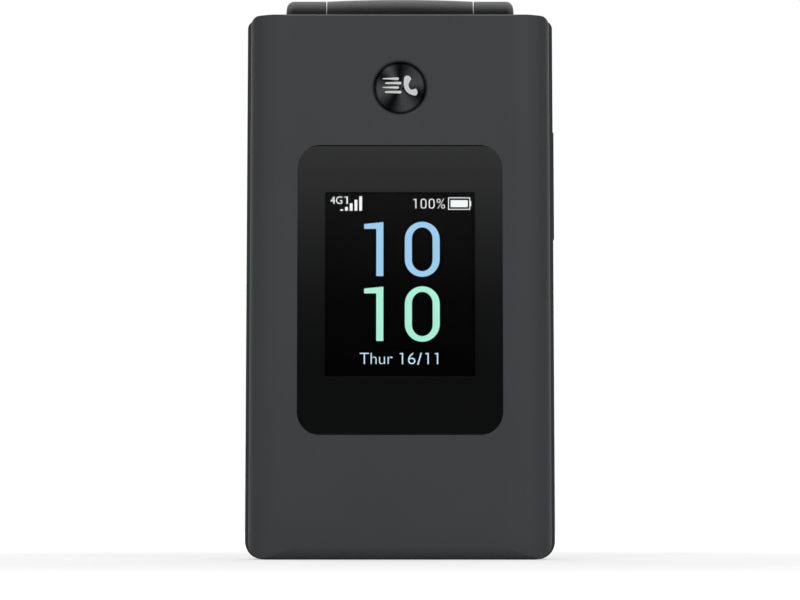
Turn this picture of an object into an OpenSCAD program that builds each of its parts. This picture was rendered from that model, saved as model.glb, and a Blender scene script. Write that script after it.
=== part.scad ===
// Folding mobile telephone with a small outer screen, shut and standing on its bottom end.
// X runs across, Y from the lid (-) to the battery cover (+), Z up. The origin is under the
// middle of the shut telephone. All sizes are in millimetres.

/* [Casings] */
// Width across the keypad half, and across the lid's inner frame
base_w = 58.8; // [57:0.1:61]
// How far each side of the lid's outer shell stands in from the frame under it
lid_step = 0.7; // [0.5:0.1:1.1]
// Thickness of the lid
lid_t = 8.8; // [8.6:0.1:9.6]
// Thickness of the keypad half
base_t = 10.8; // [10.6:0.1:11.8]
// Gap between the two halves when shut
shut_gap = 0.4; // [0.3:0.05:0.5]
// Moulded wall of each casing
wall = 1.3; // [1.1:0.05:1.4]
// Wall of the battery cover
cover_wall = 1.1; // [0.9:0.05:1.2]
// Width of the rolled band along each side of the outer faces
roll_w = 8.4; // [7.8:0.1:8.8]
// Radius of the corners seen from the front, at the top
top_corner_r = 1.6; // [1.4:0.1:2.6]
// Radius of the corners seen from the front, at the bottom
foot_corner_r = 3.4; // [2.4:0.1:4]
// Rounding of the outer faces into the bottom end
foot_edge_r = 2.2; // [1.6:0.1:2.4]
// Gap along the seams between two casings of one half
seam_gap = 0.08; // [0.05:0.01:0.12]

/* [Hinge] */
// Height of the hinge axis above the bottom end
hinge_h = 103; // [102:0.5:108]
// Diameter of the hinge barrel
barrel_d = 10.4; // [9.8:0.1:10.8]
// Length of the whole barrel
barrel_w = 44; // [42:0.2:46]
// Length of the middle knuckle, which belongs to the lid
knuckle_w = 28.2; // [26:0.2:30]
// How much fuller the middle knuckle is in its middle than at its ends
knuckle_crown = 0.35; // [0.2:0.05:0.4]
// Gap at each end of the middle knuckle
knuckle_gap = 0.25; // [0.2:0.01:0.4]
// Gap between the barrel and the casing that passes round it
barrel_clear = 0.3; // [0.25:0.05:0.4]
// Diameter of the bore that runs through the knuckles
hinge_bore_d = 5; // [4.6:0.1:5.4]
// Running clearance of the hinge unit and the pivot tube, on the radius
hinge_clear = 0.05; // [0.03:0.01:0.08]
// Height of the lid's top edge above the hinge axis
lid_lip = 0.6; // [0.4:0.1:0.8]

/* [Outer face of the lid] */
// Width of the outer glass
glass_w = 38.6; // [36:0.2:39]
// Height of the outer glass
glass_h = 54.8; // [50:0.2:58]
// Corner radius of the outer glass
glass_r = 4.2; // [3:0.1:5]
// From the lid's top edge down to the outer glass
glass_drop = 25.4; // [24:0.2:28]
// Thickness of the outer glass
glass_t = 0.8; // [0.6:0.05:0.9]
// Width of the small screen's picture
small_picture_w = 28; // [26:0.2:30]
// Height of the small screen's picture
small_picture_h = 35; // [33:0.2:37]
// Diameter of the call button's seat in the lid
button_d = 10.2; // [9:0.1:11]
// Width of the bevel round that seat
button_bevel = 0.3; // [0.2:0.05:0.4]
// From the lid's top edge down to the middle of the call button
button_drop = 14.2; // [13:0.1:16]
// Travel of the call button
button_travel = 0.3; // [0.2:0.05:0.4]

/* [Inner face of the lid] */
// Width of the inner glass
main_glass_w = 50; // [48:0.2:51]
// Height of the inner glass
main_glass_h = 78; // [74:0.5:79]
// From the lid's free end up to the inner glass
main_glass_rise = 10.5; // [9.5:0.1:11]
// Width of the main picture
main_picture_w = 43.2; // [41:0.2:44]
// Height of the main picture
main_picture_h = 57.6; // [55:0.2:60]

/* [Keypad] */
// Gap between key columns
col_gap = 1.3; // [1.1:0.05:1.8]
// Height of a number key
key_h = 10.4; // [9.4:0.1:10.8]
// Corner radius of a number key
key_r = 2.2; // [1.2:0.1:3]
// Distance between key rows
row_pitch = 12.5; // [12:0.1:12.6]
// Height of the lowest row of keys
first_row = 15.5; // [15:0.1:16.5]
// Gap round every key
key_gap = 0.25; // [0.2:0.01:0.3]
// Travel of every key
key_travel = 0.35; // [0.25:0.05:0.4]
// Radius of the ring of arrow keys
ring_r = 11; // [10.4:0.1:11.2]
// Radius of the middle key
ok_r = 5.2; // [4.6:0.1:5.6]
// Height of the middle of the arrow keys
ring_h = 74.5; // [74:0.1:76]

/* [Sides and back] */
// Length of the volume key
volume_l = 21.2; // [18:0.2:24]
// Height of the middle of the volume key
volume_h = 72.2; // [68:0.2:74]
// How far the volume key stands out
volume_proud = 0.3; // [0.2:0.05:0.5]
// Length of the battery cover
cover_l = 78; // [76:0.5:79]
// Radius of the headphone socket's bore
jack_r = 1.8; // [1.77:0.01:1.85]
// Depth of the headphone socket's bore
jack_depth = 14; // [13.5:0.1:14.5]
// Diameter of the camera's glass
camera_d = 6.4; // [5.6:0.1:7]
// Width of the battery
battery_w = 37; // [35:0.5:38]
// Height of the battery
battery_h = 52; // [48:0.5:54]

/* [Hidden] */
$fn = 64;
eps = 0.01;
weld = 0.1; // how far a rib reaches into the wall that carries it

// Planes from front to back
y_front = -(lid_t + shut_gap + base_t) / 2;
y_lid_in = y_front + lid_t;
y_base = y_lid_in + shut_gap;
y_back = y_base + base_t;
y_hinge = y_lid_in + shut_gap / 2;

// Lid
lid_w = base_w - 2 * lid_step;
lid_top = hinge_h + lid_lip;
frame_t = 2.4;
y_lid_seam = y_lid_in - frame_t;
lip_r = 0.6;
lid_boss_start = 1.5;
lid_cavity_top = hinge_h - barrel_d / 2 - barrel_clear - wall;
glass_z = lid_top - glass_drop - glass_h / 2;
glass_fit = 0.1;
glass_ledge = 2.6;
y_glass = y_front + 0.05;
y_ledge = y_glass + glass_t + 0.05;
button_z = lid_top - button_drop;
button_rim = 0.35;
button_fit = 0.12;
button_flange = 0.8;

// Stack inside the lid, from the front
small_module = [small_picture_w + 5, small_picture_h + 10, 1.9];
y_small_module = y_ledge;
y_lid_board = y_small_module + small_module[2] + 0.15;
lid_board_t = 0.6;
lid_board_foot = wall + 9;
lid_board_top = lid_cavity_top - 2;
lid_board_w = lid_w - 12.4;
pin_r = 1;
pin_inset = 4;
main_module = [main_picture_w + 3, main_picture_h + 8];
main_module_t = 1.7;
y_main_module = y_lid_seam - main_module_t - 0.05;
main_glass_z = main_glass_rise + main_glass_h / 2;
main_glass_r = 3;
main_glass_t = 0.8;
main_glass_sink = 0.3;
picture_z = main_glass_z;
magnet_size = [5, 1.8, 3];
magnet_x = lid_w / 2 - wall - 3;
magnet_top = picture_z - main_module[1] / 2 - 1.7;
ear_z = 5.4;
ear_slot = [11, 1.6];
ear_body = [12, 5, 2.2];

// Keypad half
base_top = hinge_h - 0.4;
y_base_seam = y_base + 4;
y_cover_seam = y_base + 7;
pad_sink = 0.5;
face_t = 1;
y_pad = y_base + pad_sink;
y_face_in = y_pad + face_t;
pad_margin = 4.3;
pad_w = base_w - 2 * pad_margin;
pad_bottom = first_row - key_h / 2 - 4.2;
pad_top = ring_h + ring_r + 4.5;
key_proud = 0.4;
flange_t = 0.4;
flange_w = 0.5;
y_flange = y_face_in + 0.05;
y_mat = y_flange + flange_t + key_travel + 0.05;
mat_t = 0.5;
dome_t = 0.1;
y_board = y_mat + mat_t + dome_t;
board_t = 0.8;
board_clear = 0.7;
boss_r = 1.7;
boss_x = base_w / 2 - 3.4;
boss_z = [11, 57];
board_w = 2 * (boss_x - boss_r - board_clear);
board_top = ring_h + ring_r + 2;
board_foot = wall + 0.5;
mat_foot = 8.5;
shield_t = 1.2;
can_edge = board_w / 2 - 3.2;
// Shielding cans, as [x, z, width, height]
cans = [[-can_edge, 22, 24, 22], [can_edge - 13, 20, 13, 16], [-can_edge, 48, 18, 20], [can_edge - 18, 42, 18, 22]];
y_floor = y_board + board_t + shield_t + 0.15;
floor_t = 0.8;
cover_fit = 0.1;
y_battery = y_floor + floor_t + 0.1;
battery_t = y_back - cover_wall - 0.15 - y_battery;
battery_z = 18 + battery_h / 2;
battery_plug_w = 12;
battery_plug_h = 3.4;
battery_plug_z = battery_z + battery_h / 2 + 0.25;
card_x = 12;
card_z = 3.4;
card_l = 12.4;
card_cage_t = 1.4;
screw_r = 0.7;
screw_head_r = 1.3;
screw_head_t = 0.7;

// Keys
key_w = (board_w - 2 * col_gap) / 3;
col_pitch = key_w + col_gap;
col_x = [-col_pitch, 0, col_pitch];
row_z = [for (i = [0 : 3]) first_row + i * row_pitch];
side_key_w = 10.6;
soft_key_h = 9.6;
soft_key_z = ring_h + 6.6;
talk_key_h = 12;
talk_key_z = ring_h - 6.2;
side_key_x = board_w / 2 - side_key_w / 2 - 0.2;
ring_gap = 0.35;
crown_r = 40;

// Volume key
volume_t = 2.6;
y_volume = y_base_seam;
volume_slot = 0.2;
volume_flange = 0.6;

// Hinge hardware
unit_l = 16;
key_flat = 2;
cam_l = 3;
spring_l = 4.8;
spring_turns = 4;
tube_bore_r = 1.6;
flex_r = 1.3;
flex_t = 0.25;
shoulder_relief_r = 1.3;
crown_sweep = pow(knuckle_w / 2, 2) / (2 * knuckle_crown) + knuckle_crown / 2;
knuckle_end_r = 1.5;
outer_knuckle_r = barrel_d / 2 - knuckle_crown;
knuckle_cap = 1;

// Sockets on the ends and sides
usb_w = 8.9;
usb_h = 3.2;
usb_depth = 7.4;
usb_t = 0.3;
y_usb = y_base_seam + 0.4;
contact_x = 11.5;
contact_w = 3.2;
contact_h = 1.6;
y_contact = y_cover_seam - 1.5;
jack_z = hinge_h - barrel_d / 2 - barrel_clear - 5.6;
jack_wall = 0.8;
jack_x = -base_w / 2 + wall + 0.75;
y_jack = y_base_seam + 0.9;
strap_z = 7.5;
mic_x = 18;
mic_size = [3.2, 1.2, 2];
mic_hole_r = 0.5;
strap_hole = [2.2, 2.4];
strap_bar = 1.8;

// Camera, flash and loudspeaker in the upper back
back_row_z = (cover_l + base_top) / 2 - 0.4;
camera_x = -3;
flash_x = -12;
flash_r = 1.6;
bezel_r = camera_d / 2 + 1;
bezel_proud = 0.3;
speaker_x = 12;
speaker_size = [13, 10, 2.6];
speaker_slots = 6;
slot_w = 0.9;
slot_h = 7;
motor_r = 2;
motor_l = 9;
motor_x = -board_w / 2 + 1.2;
camera_body = [8, 4, 8];
camera_barrel_r = 2.2;

// ---------------------------------------------------------------- shared shapes

// Extrudes a front-view outline (x, z) from y0 to y1
module slab(y0, y1) translate([0, y1, 0]) rotate([90, 0, 0]) linear_extrude(y1 - y0) children();

// Extrudes a side-view outline (y, z) from x0 to x1
module across(x0, x1) translate([x0, 0, 0]) rotate([90, 0, 90]) linear_extrude(x1 - x0) children();

// Round bar along X, from x0 to x1, at a place in the side view
module bar_x(r, x0, x1, y, z) translate([x0, y, z]) rotate([0, 90, 0]) cylinder(r = r, h = x1 - x0);

// Round bar along Y, from y0 to y1, at a place in the front view
module bar_y(r, y0, y1, x, z) translate([x, y1, z]) rotate([90, 0, 0]) cylinder(r = r, h = y1 - y0);

module box(x0, x1, y0, y1, z0, z1) translate([x0, y0, z0]) cube([x1 - x0, y1 - y0, z1 - z0]);

module rounded_rect(w, h, r) {
    square([w - 2 * r, h], center = true);
    square([w, h - 2 * r], center = true);
    for (sx = [-1, 1], sz = [-1, 1])
        translate([sx * (w / 2 - r), sz * (h / 2 - r)]) circle(r);
}

// Front view of a casing: upright, with one radius at the top and one at the bottom
module casing_outline(w, z0, z1, r_top, r_foot) {
    translate([-w / 2, z0 + r_foot]) square([w, z1 - z0 - r_top - r_foot]);
    translate([-w / 2 + r_top, z1 - r_top]) square([w - 2 * r_top, r_top]);
    translate([-w / 2 + r_foot, z0]) square([w - 2 * r_foot, r_foot]);
    for (sx = [-1, 1]) {
        translate([sx * (w / 2 - r_top), z1 - r_top]) circle(r_top);
        translate([sx * (w / 2 - r_foot), z0 + r_foot]) circle(r_foot);
    }
}

// Cross-section of a casing seen from above, its face at 0 and its depth along +Y. The face
// is flat, then rolls through a wide arc and a tight one into each straight side.
roll_a = 25;
roll_share = 0.704;
module rolled_section(w, depth, inset) {
    face_flat = w / 2 - roll_w;
    wide_r = roll_share * roll_w / sin(roll_a);
    tight_r = roll_w * (1 - roll_share) / (1 - sin(roll_a));
    x_meet = face_flat + (wide_r - inset) * sin(roll_a);
    tight_x = w / 2 - tight_r;
    tight_y = wide_r * (1 - cos(roll_a)) + tight_r * cos(roll_a);
    translate([-face_flat, inset]) square([2 * face_flat, depth - inset]);
    for (side = [0, 1]) mirror([side, 0]) {
        intersection() {
            translate([face_flat, wide_r]) circle(wide_r - inset, $fn = 180);
            translate([face_flat, 0]) square([x_meet - face_flat, depth]);
        }
        intersection() {
            translate([tight_x, tight_y]) circle(tight_r - inset, $fn = 96);
            translate([x_meet, 0]) square([w / 2 - x_meet, tight_y]);
        }
        translate([x_meet, tight_y]) square([w / 2 - inset - x_meet, depth - tight_y]);
    }
}

// Side view of a casing from its face at 0 to its depth, with both face edges rounded
module end_section(depth, z0, z1, r_top, r_foot) {
    translate([0, z0 + r_foot]) square([depth, z1 - z0 - r_top - r_foot]);
    translate([r_foot, z0]) square([depth - r_foot, r_foot]);
    translate([r_top, z1 - r_top]) square([depth - r_top, r_top]);
    translate([r_foot, z0 + r_foot]) circle(r_foot);
    translate([r_top, z1 - r_top]) circle(r_top);
}

// Solid outer form of a casing whose face is at y = 0 and which is depth deep
module casing_form(w, depth, top, r_top_edge) intersection() {
    linear_extrude(top) rolled_section(w, depth, 0);
    slab(0, depth) casing_outline(w, 0, top, top_corner_r, foot_corner_r);
    across(-w / 2, w / 2) end_section(depth, 0, top, r_top_edge, foot_edge_r);
}

// Room inside a casing, one wall in from its face and sides, open at its depth
module casing_room(w, depth, inset, z0, z1) intersection() {
    translate([0, 0, z0]) linear_extrude(z1 - z0) rolled_section(w, depth + eps, inset);
    slab(0, depth + eps)
        casing_outline(w - 2 * inset, z0, z1, max(top_corner_r - inset, 0.4), foot_corner_r - inset);
}

// Turns a casing whose face is at y = 0 into the lid's place, or into the back's place
module at_lid() translate([0, y_front, 0]) children();
module at_back() translate([0, y_back, 0]) mirror([0, 1, 0]) children();

// Room that the barrel of the hinge needs between two x values
module barrel_room(x0, x1) bar_x(barrel_d / 2 + barrel_clear, x0, x1, y_hinge, hinge_h);

// Middle knuckle, a little fuller in the middle than at its ends
module middle_knuckle() translate([0, y_hinge, hinge_h]) rotate([0, 90, 0]) rotate_extrude() intersection() {
    translate([0, -knuckle_w / 2]) square([barrel_d / 2, knuckle_w]);
    translate([barrel_d / 2 - crown_sweep, 0]) circle(crown_sweep, $fn = 720);
}

// Outer knuckle on the right, with a rounded outer end
module outer_knuckle() translate([0, y_hinge, hinge_h]) rotate([0, 90, 0]) rotate_extrude() {
    inner = knuckle_w / 2 + knuckle_gap;
    translate([0, inner]) square([outer_knuckle_r, barrel_w / 2 - knuckle_end_r - inner]);
    translate([0, inner]) square([outer_knuckle_r - knuckle_end_r, barrel_w / 2 - inner]);
    translate([outer_knuckle_r - knuckle_end_r, barrel_w / 2 - knuckle_end_r]) circle(knuckle_end_r);
}

// Bore of the hinge between two x values
module hinge_bore(x0, x1) bar_x(hinge_bore_d / 2, x0, x1, y_hinge, hinge_h);

// The same bore with a flat on its back side, which stops what it holds from turning
module keyed_bore(x0, x1, clear) difference() {
    bar_x(hinge_bore_d / 2 - clear, x0, x1, y_hinge, hinge_h);
    box(x0 - 1, x1 + 1, y_hinge + key_flat - clear, y_hinge + hinge_bore_d, hinge_h - hinge_bore_d, hinge_h + hinge_bore_d);
}

module shoulder_relief(w) for (side = [0, 1]) mirror([side, 0, 0])
    bar_x(shoulder_relief_r, barrel_w / 2 - eps, w / 2 + 1, y_hinge, hinge_h);

// ---------------------------------------------------------------- lid

module lid_outer_shell() color("#424446") difference() {
    union() {
        at_lid() difference() {
            casing_form(lid_w, lid_t - frame_t - seam_gap, lid_top, lip_r);
            casing_room(lid_w, lid_t - frame_t, wall, wall, lid_cavity_top);
        }
        lid_screw_places() bar_y(boss_r, y_front + lid_boss_start, y_lid_seam - seam_gap, 0, 0);
    }
    lid_screw_places() bar_y(screw_r, y_front + wall + lid_boss_start, y_lid_seam, 0, 0);
    slab(y_front - 1, y_ledge) translate([0, glass_z])
        rounded_rect(glass_w + 2 * glass_fit, glass_h + 2 * glass_fit, glass_r + glass_fit);
    slab(y_front - 1, y_lid_seam) translate([0, glass_z])
        rounded_rect(glass_w - 2 * glass_ledge, glass_h - 2 * glass_ledge, glass_r - 2);
    bar_y(button_d / 2, y_front - 1, y_lid_seam, 0, button_z);
    translate([0, y_front + button_bevel, button_z]) rotate([90, 0, 0])
        cylinder(r1 = button_d / 2, r2 = button_d / 2 + 2 * button_bevel, h = 2 * button_bevel);
    barrel_room(-barrel_w / 2 - barrel_clear, barrel_w / 2 + barrel_clear);
    shoulder_relief(lid_w);
}

module lid_screw_places() for (x = [-1, 1], z = [5, lid_cavity_top - 3.2])
    translate([x * (lid_w / 2 - 4), 0, z]) children();

module lid_inner_frame() color("#3a3c3e") {
    difference() {
        union() {
            slab(y_lid_seam, y_lid_in) casing_outline(base_w, 0, lid_top, top_corner_r, foot_corner_r);
            middle_knuckle();
        }
        slab(y_lid_in - main_glass_sink - main_glass_t - 0.05, y_lid_in + 1)
            translate([0, main_glass_z])
            rounded_rect(main_glass_w + 2 * glass_fit, main_glass_h + 2 * glass_fit, main_glass_r + glass_fit);
        slab(y_lid_seam - 1, y_lid_in) translate([0, picture_z])
            rounded_rect(main_picture_w + 1, main_picture_h + 1, 0.8);
        slab(y_lid_seam - 1, y_lid_in + 1) translate([0, ear_z]) rounded_rect(ear_slot[0], ear_slot[1], ear_slot[1] / 2 - eps);
        for (side = [0, 1]) mirror([side, 0, 0]) {
            barrel_room(knuckle_w / 2, barrel_w / 2 + barrel_clear);
            hinge_bore(knuckle_w / 2 - unit_l / 2 - 1, knuckle_w / 2 + 1);
        }
        bar_x(flex_r + 0.3, -2, knuckle_w / 2, y_hinge, hinge_h);
        shoulder_relief(base_w);
        lid_screw_places() bar_y(1.6, y_lid_in - 1.4, y_lid_in + 1, 0, 0);
        lid_screw_places() bar_y(screw_r + 0.1, y_lid_seam - 1, y_lid_in, 0, 0);
    }
}

module outer_window() color("#141618") slab(y_glass, y_glass + glass_t)
    translate([0, glass_z]) rounded_rect(glass_w, glass_h, glass_r);

module outer_display() color("#05070a") slab(y_small_module, y_small_module + small_module[2])
    translate([0, glass_z]) square([small_module[0], small_module[1]], center = true);

module main_window() color("#101214")
    slab(y_lid_in - main_glass_sink - main_glass_t, y_lid_in - main_glass_sink)
    translate([0, main_glass_z]) rounded_rect(main_glass_w, main_glass_h, main_glass_r);

module main_display() color("#05070a") slab(y_main_module, y_main_module + main_module_t)
    translate([0, picture_z]) square(main_module, center = true);

module lid_board() color("#1f5a3a") slab(y_lid_board, y_lid_board + lid_board_t) difference() {
    translate([0, (lid_board_foot + lid_board_top) / 2])
        square([lid_board_w, lid_board_top - lid_board_foot], center = true);
    for (x = [-1, 1], z = [lid_board_foot + pin_inset, lid_board_top - pin_inset])
        translate([x * (lid_board_w / 2 - pin_inset / 2), z]) circle(pin_r);
}

module earpiece() color("#2a2c2e") slab(y_lid_seam - ear_body[2], y_lid_seam - 0.05)
    translate([0, ear_z]) rounded_rect(ear_body[0], ear_body[1], 1);

module earpiece_mesh() color("#8c9094") slab(y_lid_in - 1.2, y_lid_in - 0.6)
    translate([0, ear_z]) rounded_rect(ear_slot[0] - 0.1, ear_slot[1] - 0.1, ear_slot[1] / 2 - 0.06);

module lid_bumpers() color("#1c1d1f") lid_screw_places()
    bar_y(1.5, y_lid_in - 0.5, y_base - 0.1, 0, 0);

module lid_screws() color("#9a9da0") lid_screw_places() {
    bar_y(screw_head_r, y_lid_in - 1.4, y_lid_in - 0.6, 0, 0);
    bar_y(screw_r - 0.05, y_lid_seam - 2, y_lid_in - 1.4 + eps, 0, 0);
}

module closing_magnet() color("#b8bbbe")
    box(magnet_x - magnet_size[0], magnet_x, y_lid_seam - magnet_size[1] - 0.1, y_lid_seam - 0.1,
        magnet_top - magnet_size[2], magnet_top);

module button_ring() color("#0c0d0e") slab(y_front + 0.25, y_front + wall + 0.4)
    translate([0, button_z]) difference() {
        circle(button_d / 2 - 0.02);
        circle(button_d / 2 - button_rim);
    }

module call_button() color("#16181a") {
    cap_r = button_d / 2 - button_rim - button_fit;
    intersection() {
        bar_y(cap_r, y_front + 0.02, y_front + wall + 0.5, 0, button_z);
        translate([0, y_front + 45, button_z]) sphere(44.98, $fn = 200);
    }
    bar_y(cap_r + button_flange, y_front + wall + 0.45, y_front + wall + 0.95, 0, button_z);
}

module button_switch() color("#c8ccd0")
    bar_y(2, y_front + wall + 0.95 + button_travel + 0.05, y_lid_board, 0, button_z);

// ---------------------------------------------------------------- keypad half

// Everything that is cut through both casings of the keypad half
module side_cuts() {
    // volume key
    box(base_w / 2 - wall - 1, base_w / 2 + 1,
        y_volume - volume_t / 2 - volume_slot, y_volume + volume_t / 2 + volume_slot,
        volume_h - volume_l / 2 - volume_slot, volume_h + volume_l / 2 + volume_slot);
    box(base_w / 2 - wall - 1.2, base_w / 2 - wall,
        y_volume - volume_t / 2 - volume_flange - 0.2, y_volume + volume_t / 2 + volume_flange + 0.2,
        volume_h - volume_l / 2 - volume_flange - 0.2, volume_h + volume_l / 2 + volume_flange + 0.2);
    // headphone socket
    bar_x(jack_r + 0.25, -base_w / 2 - 1, -base_w / 2 + wall + 1, y_jack, jack_z);
    // USB socket
    translate([0, y_usb, -1]) linear_extrude(wall + 2) rounded_rect(usb_w + 0.3, usb_h + 0.3, usb_h / 2);
    // microphone
    translate([mic_x, y_board - mic_size[1] / 2, -1]) cylinder(r = mic_hole_r, h = wall + 2);
}

module nav_keys_outline(extra) circle(ring_r + extra);

// Front views of the keys, as [x, z, w, h, r]
number_keys = [for (i = [0 : 3], j = [0 : 2]) [col_x[j], row_z[3 - i], key_w, key_h, key_r]];
soft_left = [-side_key_x, soft_key_z, side_key_w, soft_key_h, key_r];
soft_right = [side_key_x, soft_key_z, side_key_w, soft_key_h, key_r];
talk = [-side_key_x, talk_key_z, side_key_w, talk_key_h, key_r];
end = [side_key_x, talk_key_z, side_key_w, talk_key_h, key_r];
plain_keys = concat(number_keys, [soft_left, soft_right, talk, end]);

// Outline of one key, larger by extra all round, kept clear of the arrow keys' ring
module key_outline(k, extra) difference() {
    translate([k[0], k[1]]) rounded_rect(k[2] + 2 * extra, k[3] + 2 * extra, k[4] + extra);
    translate([0, ring_h]) circle(ring_r + 2 * key_gap + flange_w + 0.9 - extra);
}

module base_front_housing() color("#3c3e40") {
    difference() {
        union() {
            difference() {
                slab(y_base, y_base_seam - seam_gap)
                    casing_outline(base_w, 0, base_top, top_corner_r, foot_corner_r);
                slab(y_face_in, y_base_seam)
                    casing_outline(base_w - 2 * wall, wall, lid_cavity_top, 0.6, foot_corner_r - wall);
                barrel_room(-knuckle_w / 2 - knuckle_gap, knuckle_w / 2 + knuckle_gap);
                shoulder_relief(base_w);
            }
            for (side = [0, 1]) mirror([side, 0, 0]) {
                outer_knuckle();
                for (z = boss_z) bar_y(boss_r, y_face_in - eps, y_floor - 0.05, boss_x, z);
            }
        }
        slab(y_base - 1, y_pad) translate([0, (pad_bottom + pad_top) / 2])
            rounded_rect(pad_w, pad_top - pad_bottom, 4);
        slab(y_base - 1, y_face_in + eps) {
            for (k = plain_keys) key_outline(k, key_gap);
            translate([0, ring_h]) nav_keys_outline(key_gap);
        }
        for (side = [0, 1]) mirror([side, 0, 0]) {
            keyed_bore(knuckle_w / 2, barrel_w / 2 - knuckle_cap, 0);
            for (z = boss_z) bar_y(screw_r - 0.02, y_face_in + 0.2, y_floor, boss_x, z);
        }
        side_cuts();
    }
}

module base_rear_housing() color("#3c3e40") difference() {
    union() {
        // side walls and the closed upper back
        at_back() difference() {
            casing_form(base_w, y_back - y_base_seam, base_top, lip_r);
            casing_room(base_w, y_back - y_base_seam, wall, wall, lid_cavity_top);
            box(-base_w, base_w, -1, y_back - y_cover_seam, -1, cover_l + cover_fit);
        }
        // floor under the battery and the board
        slab(y_floor, y_floor + floor_t)
            casing_outline(base_w - 2 * wall + eps, wall - eps, cover_l + 4, 1, foot_corner_r - wall);
        // wall under the upper edge of the cover, which follows the rolled sides
        intersection() {
            at_back() casing_room(base_w, y_back - y_base_seam, wall - weld, wall, lid_cavity_top);
            box(-base_w / 2, base_w / 2, y_floor, y_back - cover_wall - 0.5,
                cover_l + cover_fit, cover_l + cover_fit + 1.2);
        }
        // ribs beside the battery
        for (side = [0, 1]) mirror([side, 0, 0])
            box(battery_w / 2 + 0.3, battery_w / 2 + 1.1, y_floor, y_back - cover_wall - 0.6,
                battery_z - battery_h / 2, battery_z + battery_h / 2);
    }
    barrel_room(-barrel_w / 2 - barrel_clear, barrel_w / 2 + barrel_clear);
    side_cuts();
    for (side = [0, 1]) mirror([side, 0, 0]) {
        for (z = boss_z) bar_y(screw_r + 0.1, y_floor - 1, y_floor + floor_t + 1, boss_x, z);
        box(contact_x - contact_w / 2 - 0.05, contact_x + contact_w / 2 + 0.05,
            y_contact - contact_h / 2 - 0.05, y_contact + contact_h / 2 + 0.05, -1, wall + 1);
    }
    // holes either side of the strap bar
    for (z = [strap_z, strap_z + strap_hole[1] + strap_bar])
        box(-base_w, -base_w / 2 + wall + 0.5, y_cover_seam - 0.6 - strap_hole[0], y_cover_seam - 0.6,
            z, z + strap_hole[1]);
    // pocket for the USB socket and window for the battery's contacts
    box(-usb_w / 2 - 0.3, usb_w / 2 + 0.3, y_floor - 1, y_floor + floor_t + 1, wall - 1, usb_depth + 0.8);
    box(-battery_plug_w / 2 - 0.3, battery_plug_w / 2 + 0.3, y_floor - 1, y_floor + floor_t + 1,
        battery_plug_z - 0.3, battery_plug_z + battery_plug_h + 0.3);
    // camera, flash and loudspeaker
    slab(y_back - wall - 1, y_back + 1) camera_bezel_outline(0.05);
    slab(y_back - wall - 1, y_back + 1) for (i = [0 : speaker_slots - 1])
        translate([speaker_x + (i - (speaker_slots - 1) / 2) * 2.2, back_row_z])
            rounded_rect(slot_w, slot_h, slot_w / 2 - eps);
}

module battery_cover() color("#3c3e40") difference() {
    at_back() intersection() {
        difference() {
            casing_form(base_w, y_back - y_base_seam, base_top, lip_r);
            casing_room(base_w, y_back - y_base_seam, cover_wall, cover_wall, base_top + 1);
        }
        box(-base_w, base_w, -1, y_back - y_cover_seam - cover_fit, -1, cover_l);
    }
    // thumbnail notch at the foot
    translate([0, y_cover_seam, 0]) rotate([0, 90, 0]) translate([0, 0, -5]) cylinder(r = 0.9, h = 10);
}

module battery() color("#2c4a78") translate([0, 0, battery_z]) {
    box(-battery_w / 2, battery_w / 2, y_battery, y_battery + battery_t, -battery_h / 2, battery_h / 2 - 3.5);
    box(-battery_w / 2 + 0.4, battery_w / 2 - 0.4, y_battery + 0.2, y_battery + battery_t - 0.2,
        battery_h / 2 - 3.5 - eps, battery_h / 2);
}

// Circuit board, notched for the USB socket, with the block that meets the battery's contacts
module main_board() color("#1f5a3a") {
    slab(y_board, y_board + board_t) difference() {
        translate([0, (board_foot + board_top) / 2]) rounded_rect(board_w, board_top - board_foot, 1);
        translate([0, board_foot]) square([usb_w + 0.4, 2 * (usb_depth + 0.6 - board_foot)], center = true);
    }
    box(-battery_plug_w / 2, battery_plug_w / 2, y_board + board_t - eps, y_battery + battery_t / 2,
        battery_plug_z, battery_plug_z + battery_plug_h);
}

module board_shields() color("#b4b7ba") {
    for (can = cans) translate([can[0], y_board + board_t, can[1]]) cube([can[2], shield_t, can[3]]);
}

module keypad_mat() color("#d8dadb") slab(y_mat, y_mat + mat_t)
    translate([0, (mat_foot + board_top - 1) / 2]) rounded_rect(board_w - 1, board_top - 1 - mat_foot, 1.5);

module dome_sheet() color("#c9a24a") slab(y_mat + mat_t, y_board)
    translate([0, (mat_foot + board_top - 1) / 2]) rounded_rect(board_w - 2, board_top - 2 - mat_foot, 1.5);

// Spring-steel cages for the SIM card (left) and the memory card (right)
module card_holders() color("#c4c7ca") for (side = [-1, 1]) difference() {
    card_w = side < 0 ? 13 : 11.6;
    y0 = y_floor + floor_t;
    translate([side * card_x, 0, 0]) difference() {
        box(-card_w / 2, card_w / 2, y0, y0 + card_cage_t, card_z, card_z + card_l);
        box(-card_w / 2 + 0.5, card_w / 2 - 0.5, y0 + 0.3, y0 + card_cage_t - 0.3, card_z - 1, card_z + card_l - 0.6);
        box(-card_w / 2 + 3, card_w / 2 - 3, y0 + 0.6, y0 + 2, card_z + 2, card_z + card_l - 2.4);
    }
}

module loudspeaker() color("#222426") slab(y_back - wall - speaker_size[2] - 0.1, y_back - wall - 0.1)
    translate([speaker_x, back_row_z]) rounded_rect(speaker_size[0], speaker_size[1], 2);

module camera_bezel_outline(extra) {
    for (x = [camera_x, flash_x]) translate([x, back_row_z]) circle(bezel_r + extra);
    translate([(camera_x + flash_x) / 2, back_row_z])
        square([camera_x - flash_x, 2 * (bezel_r + extra)], center = true);
}

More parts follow.
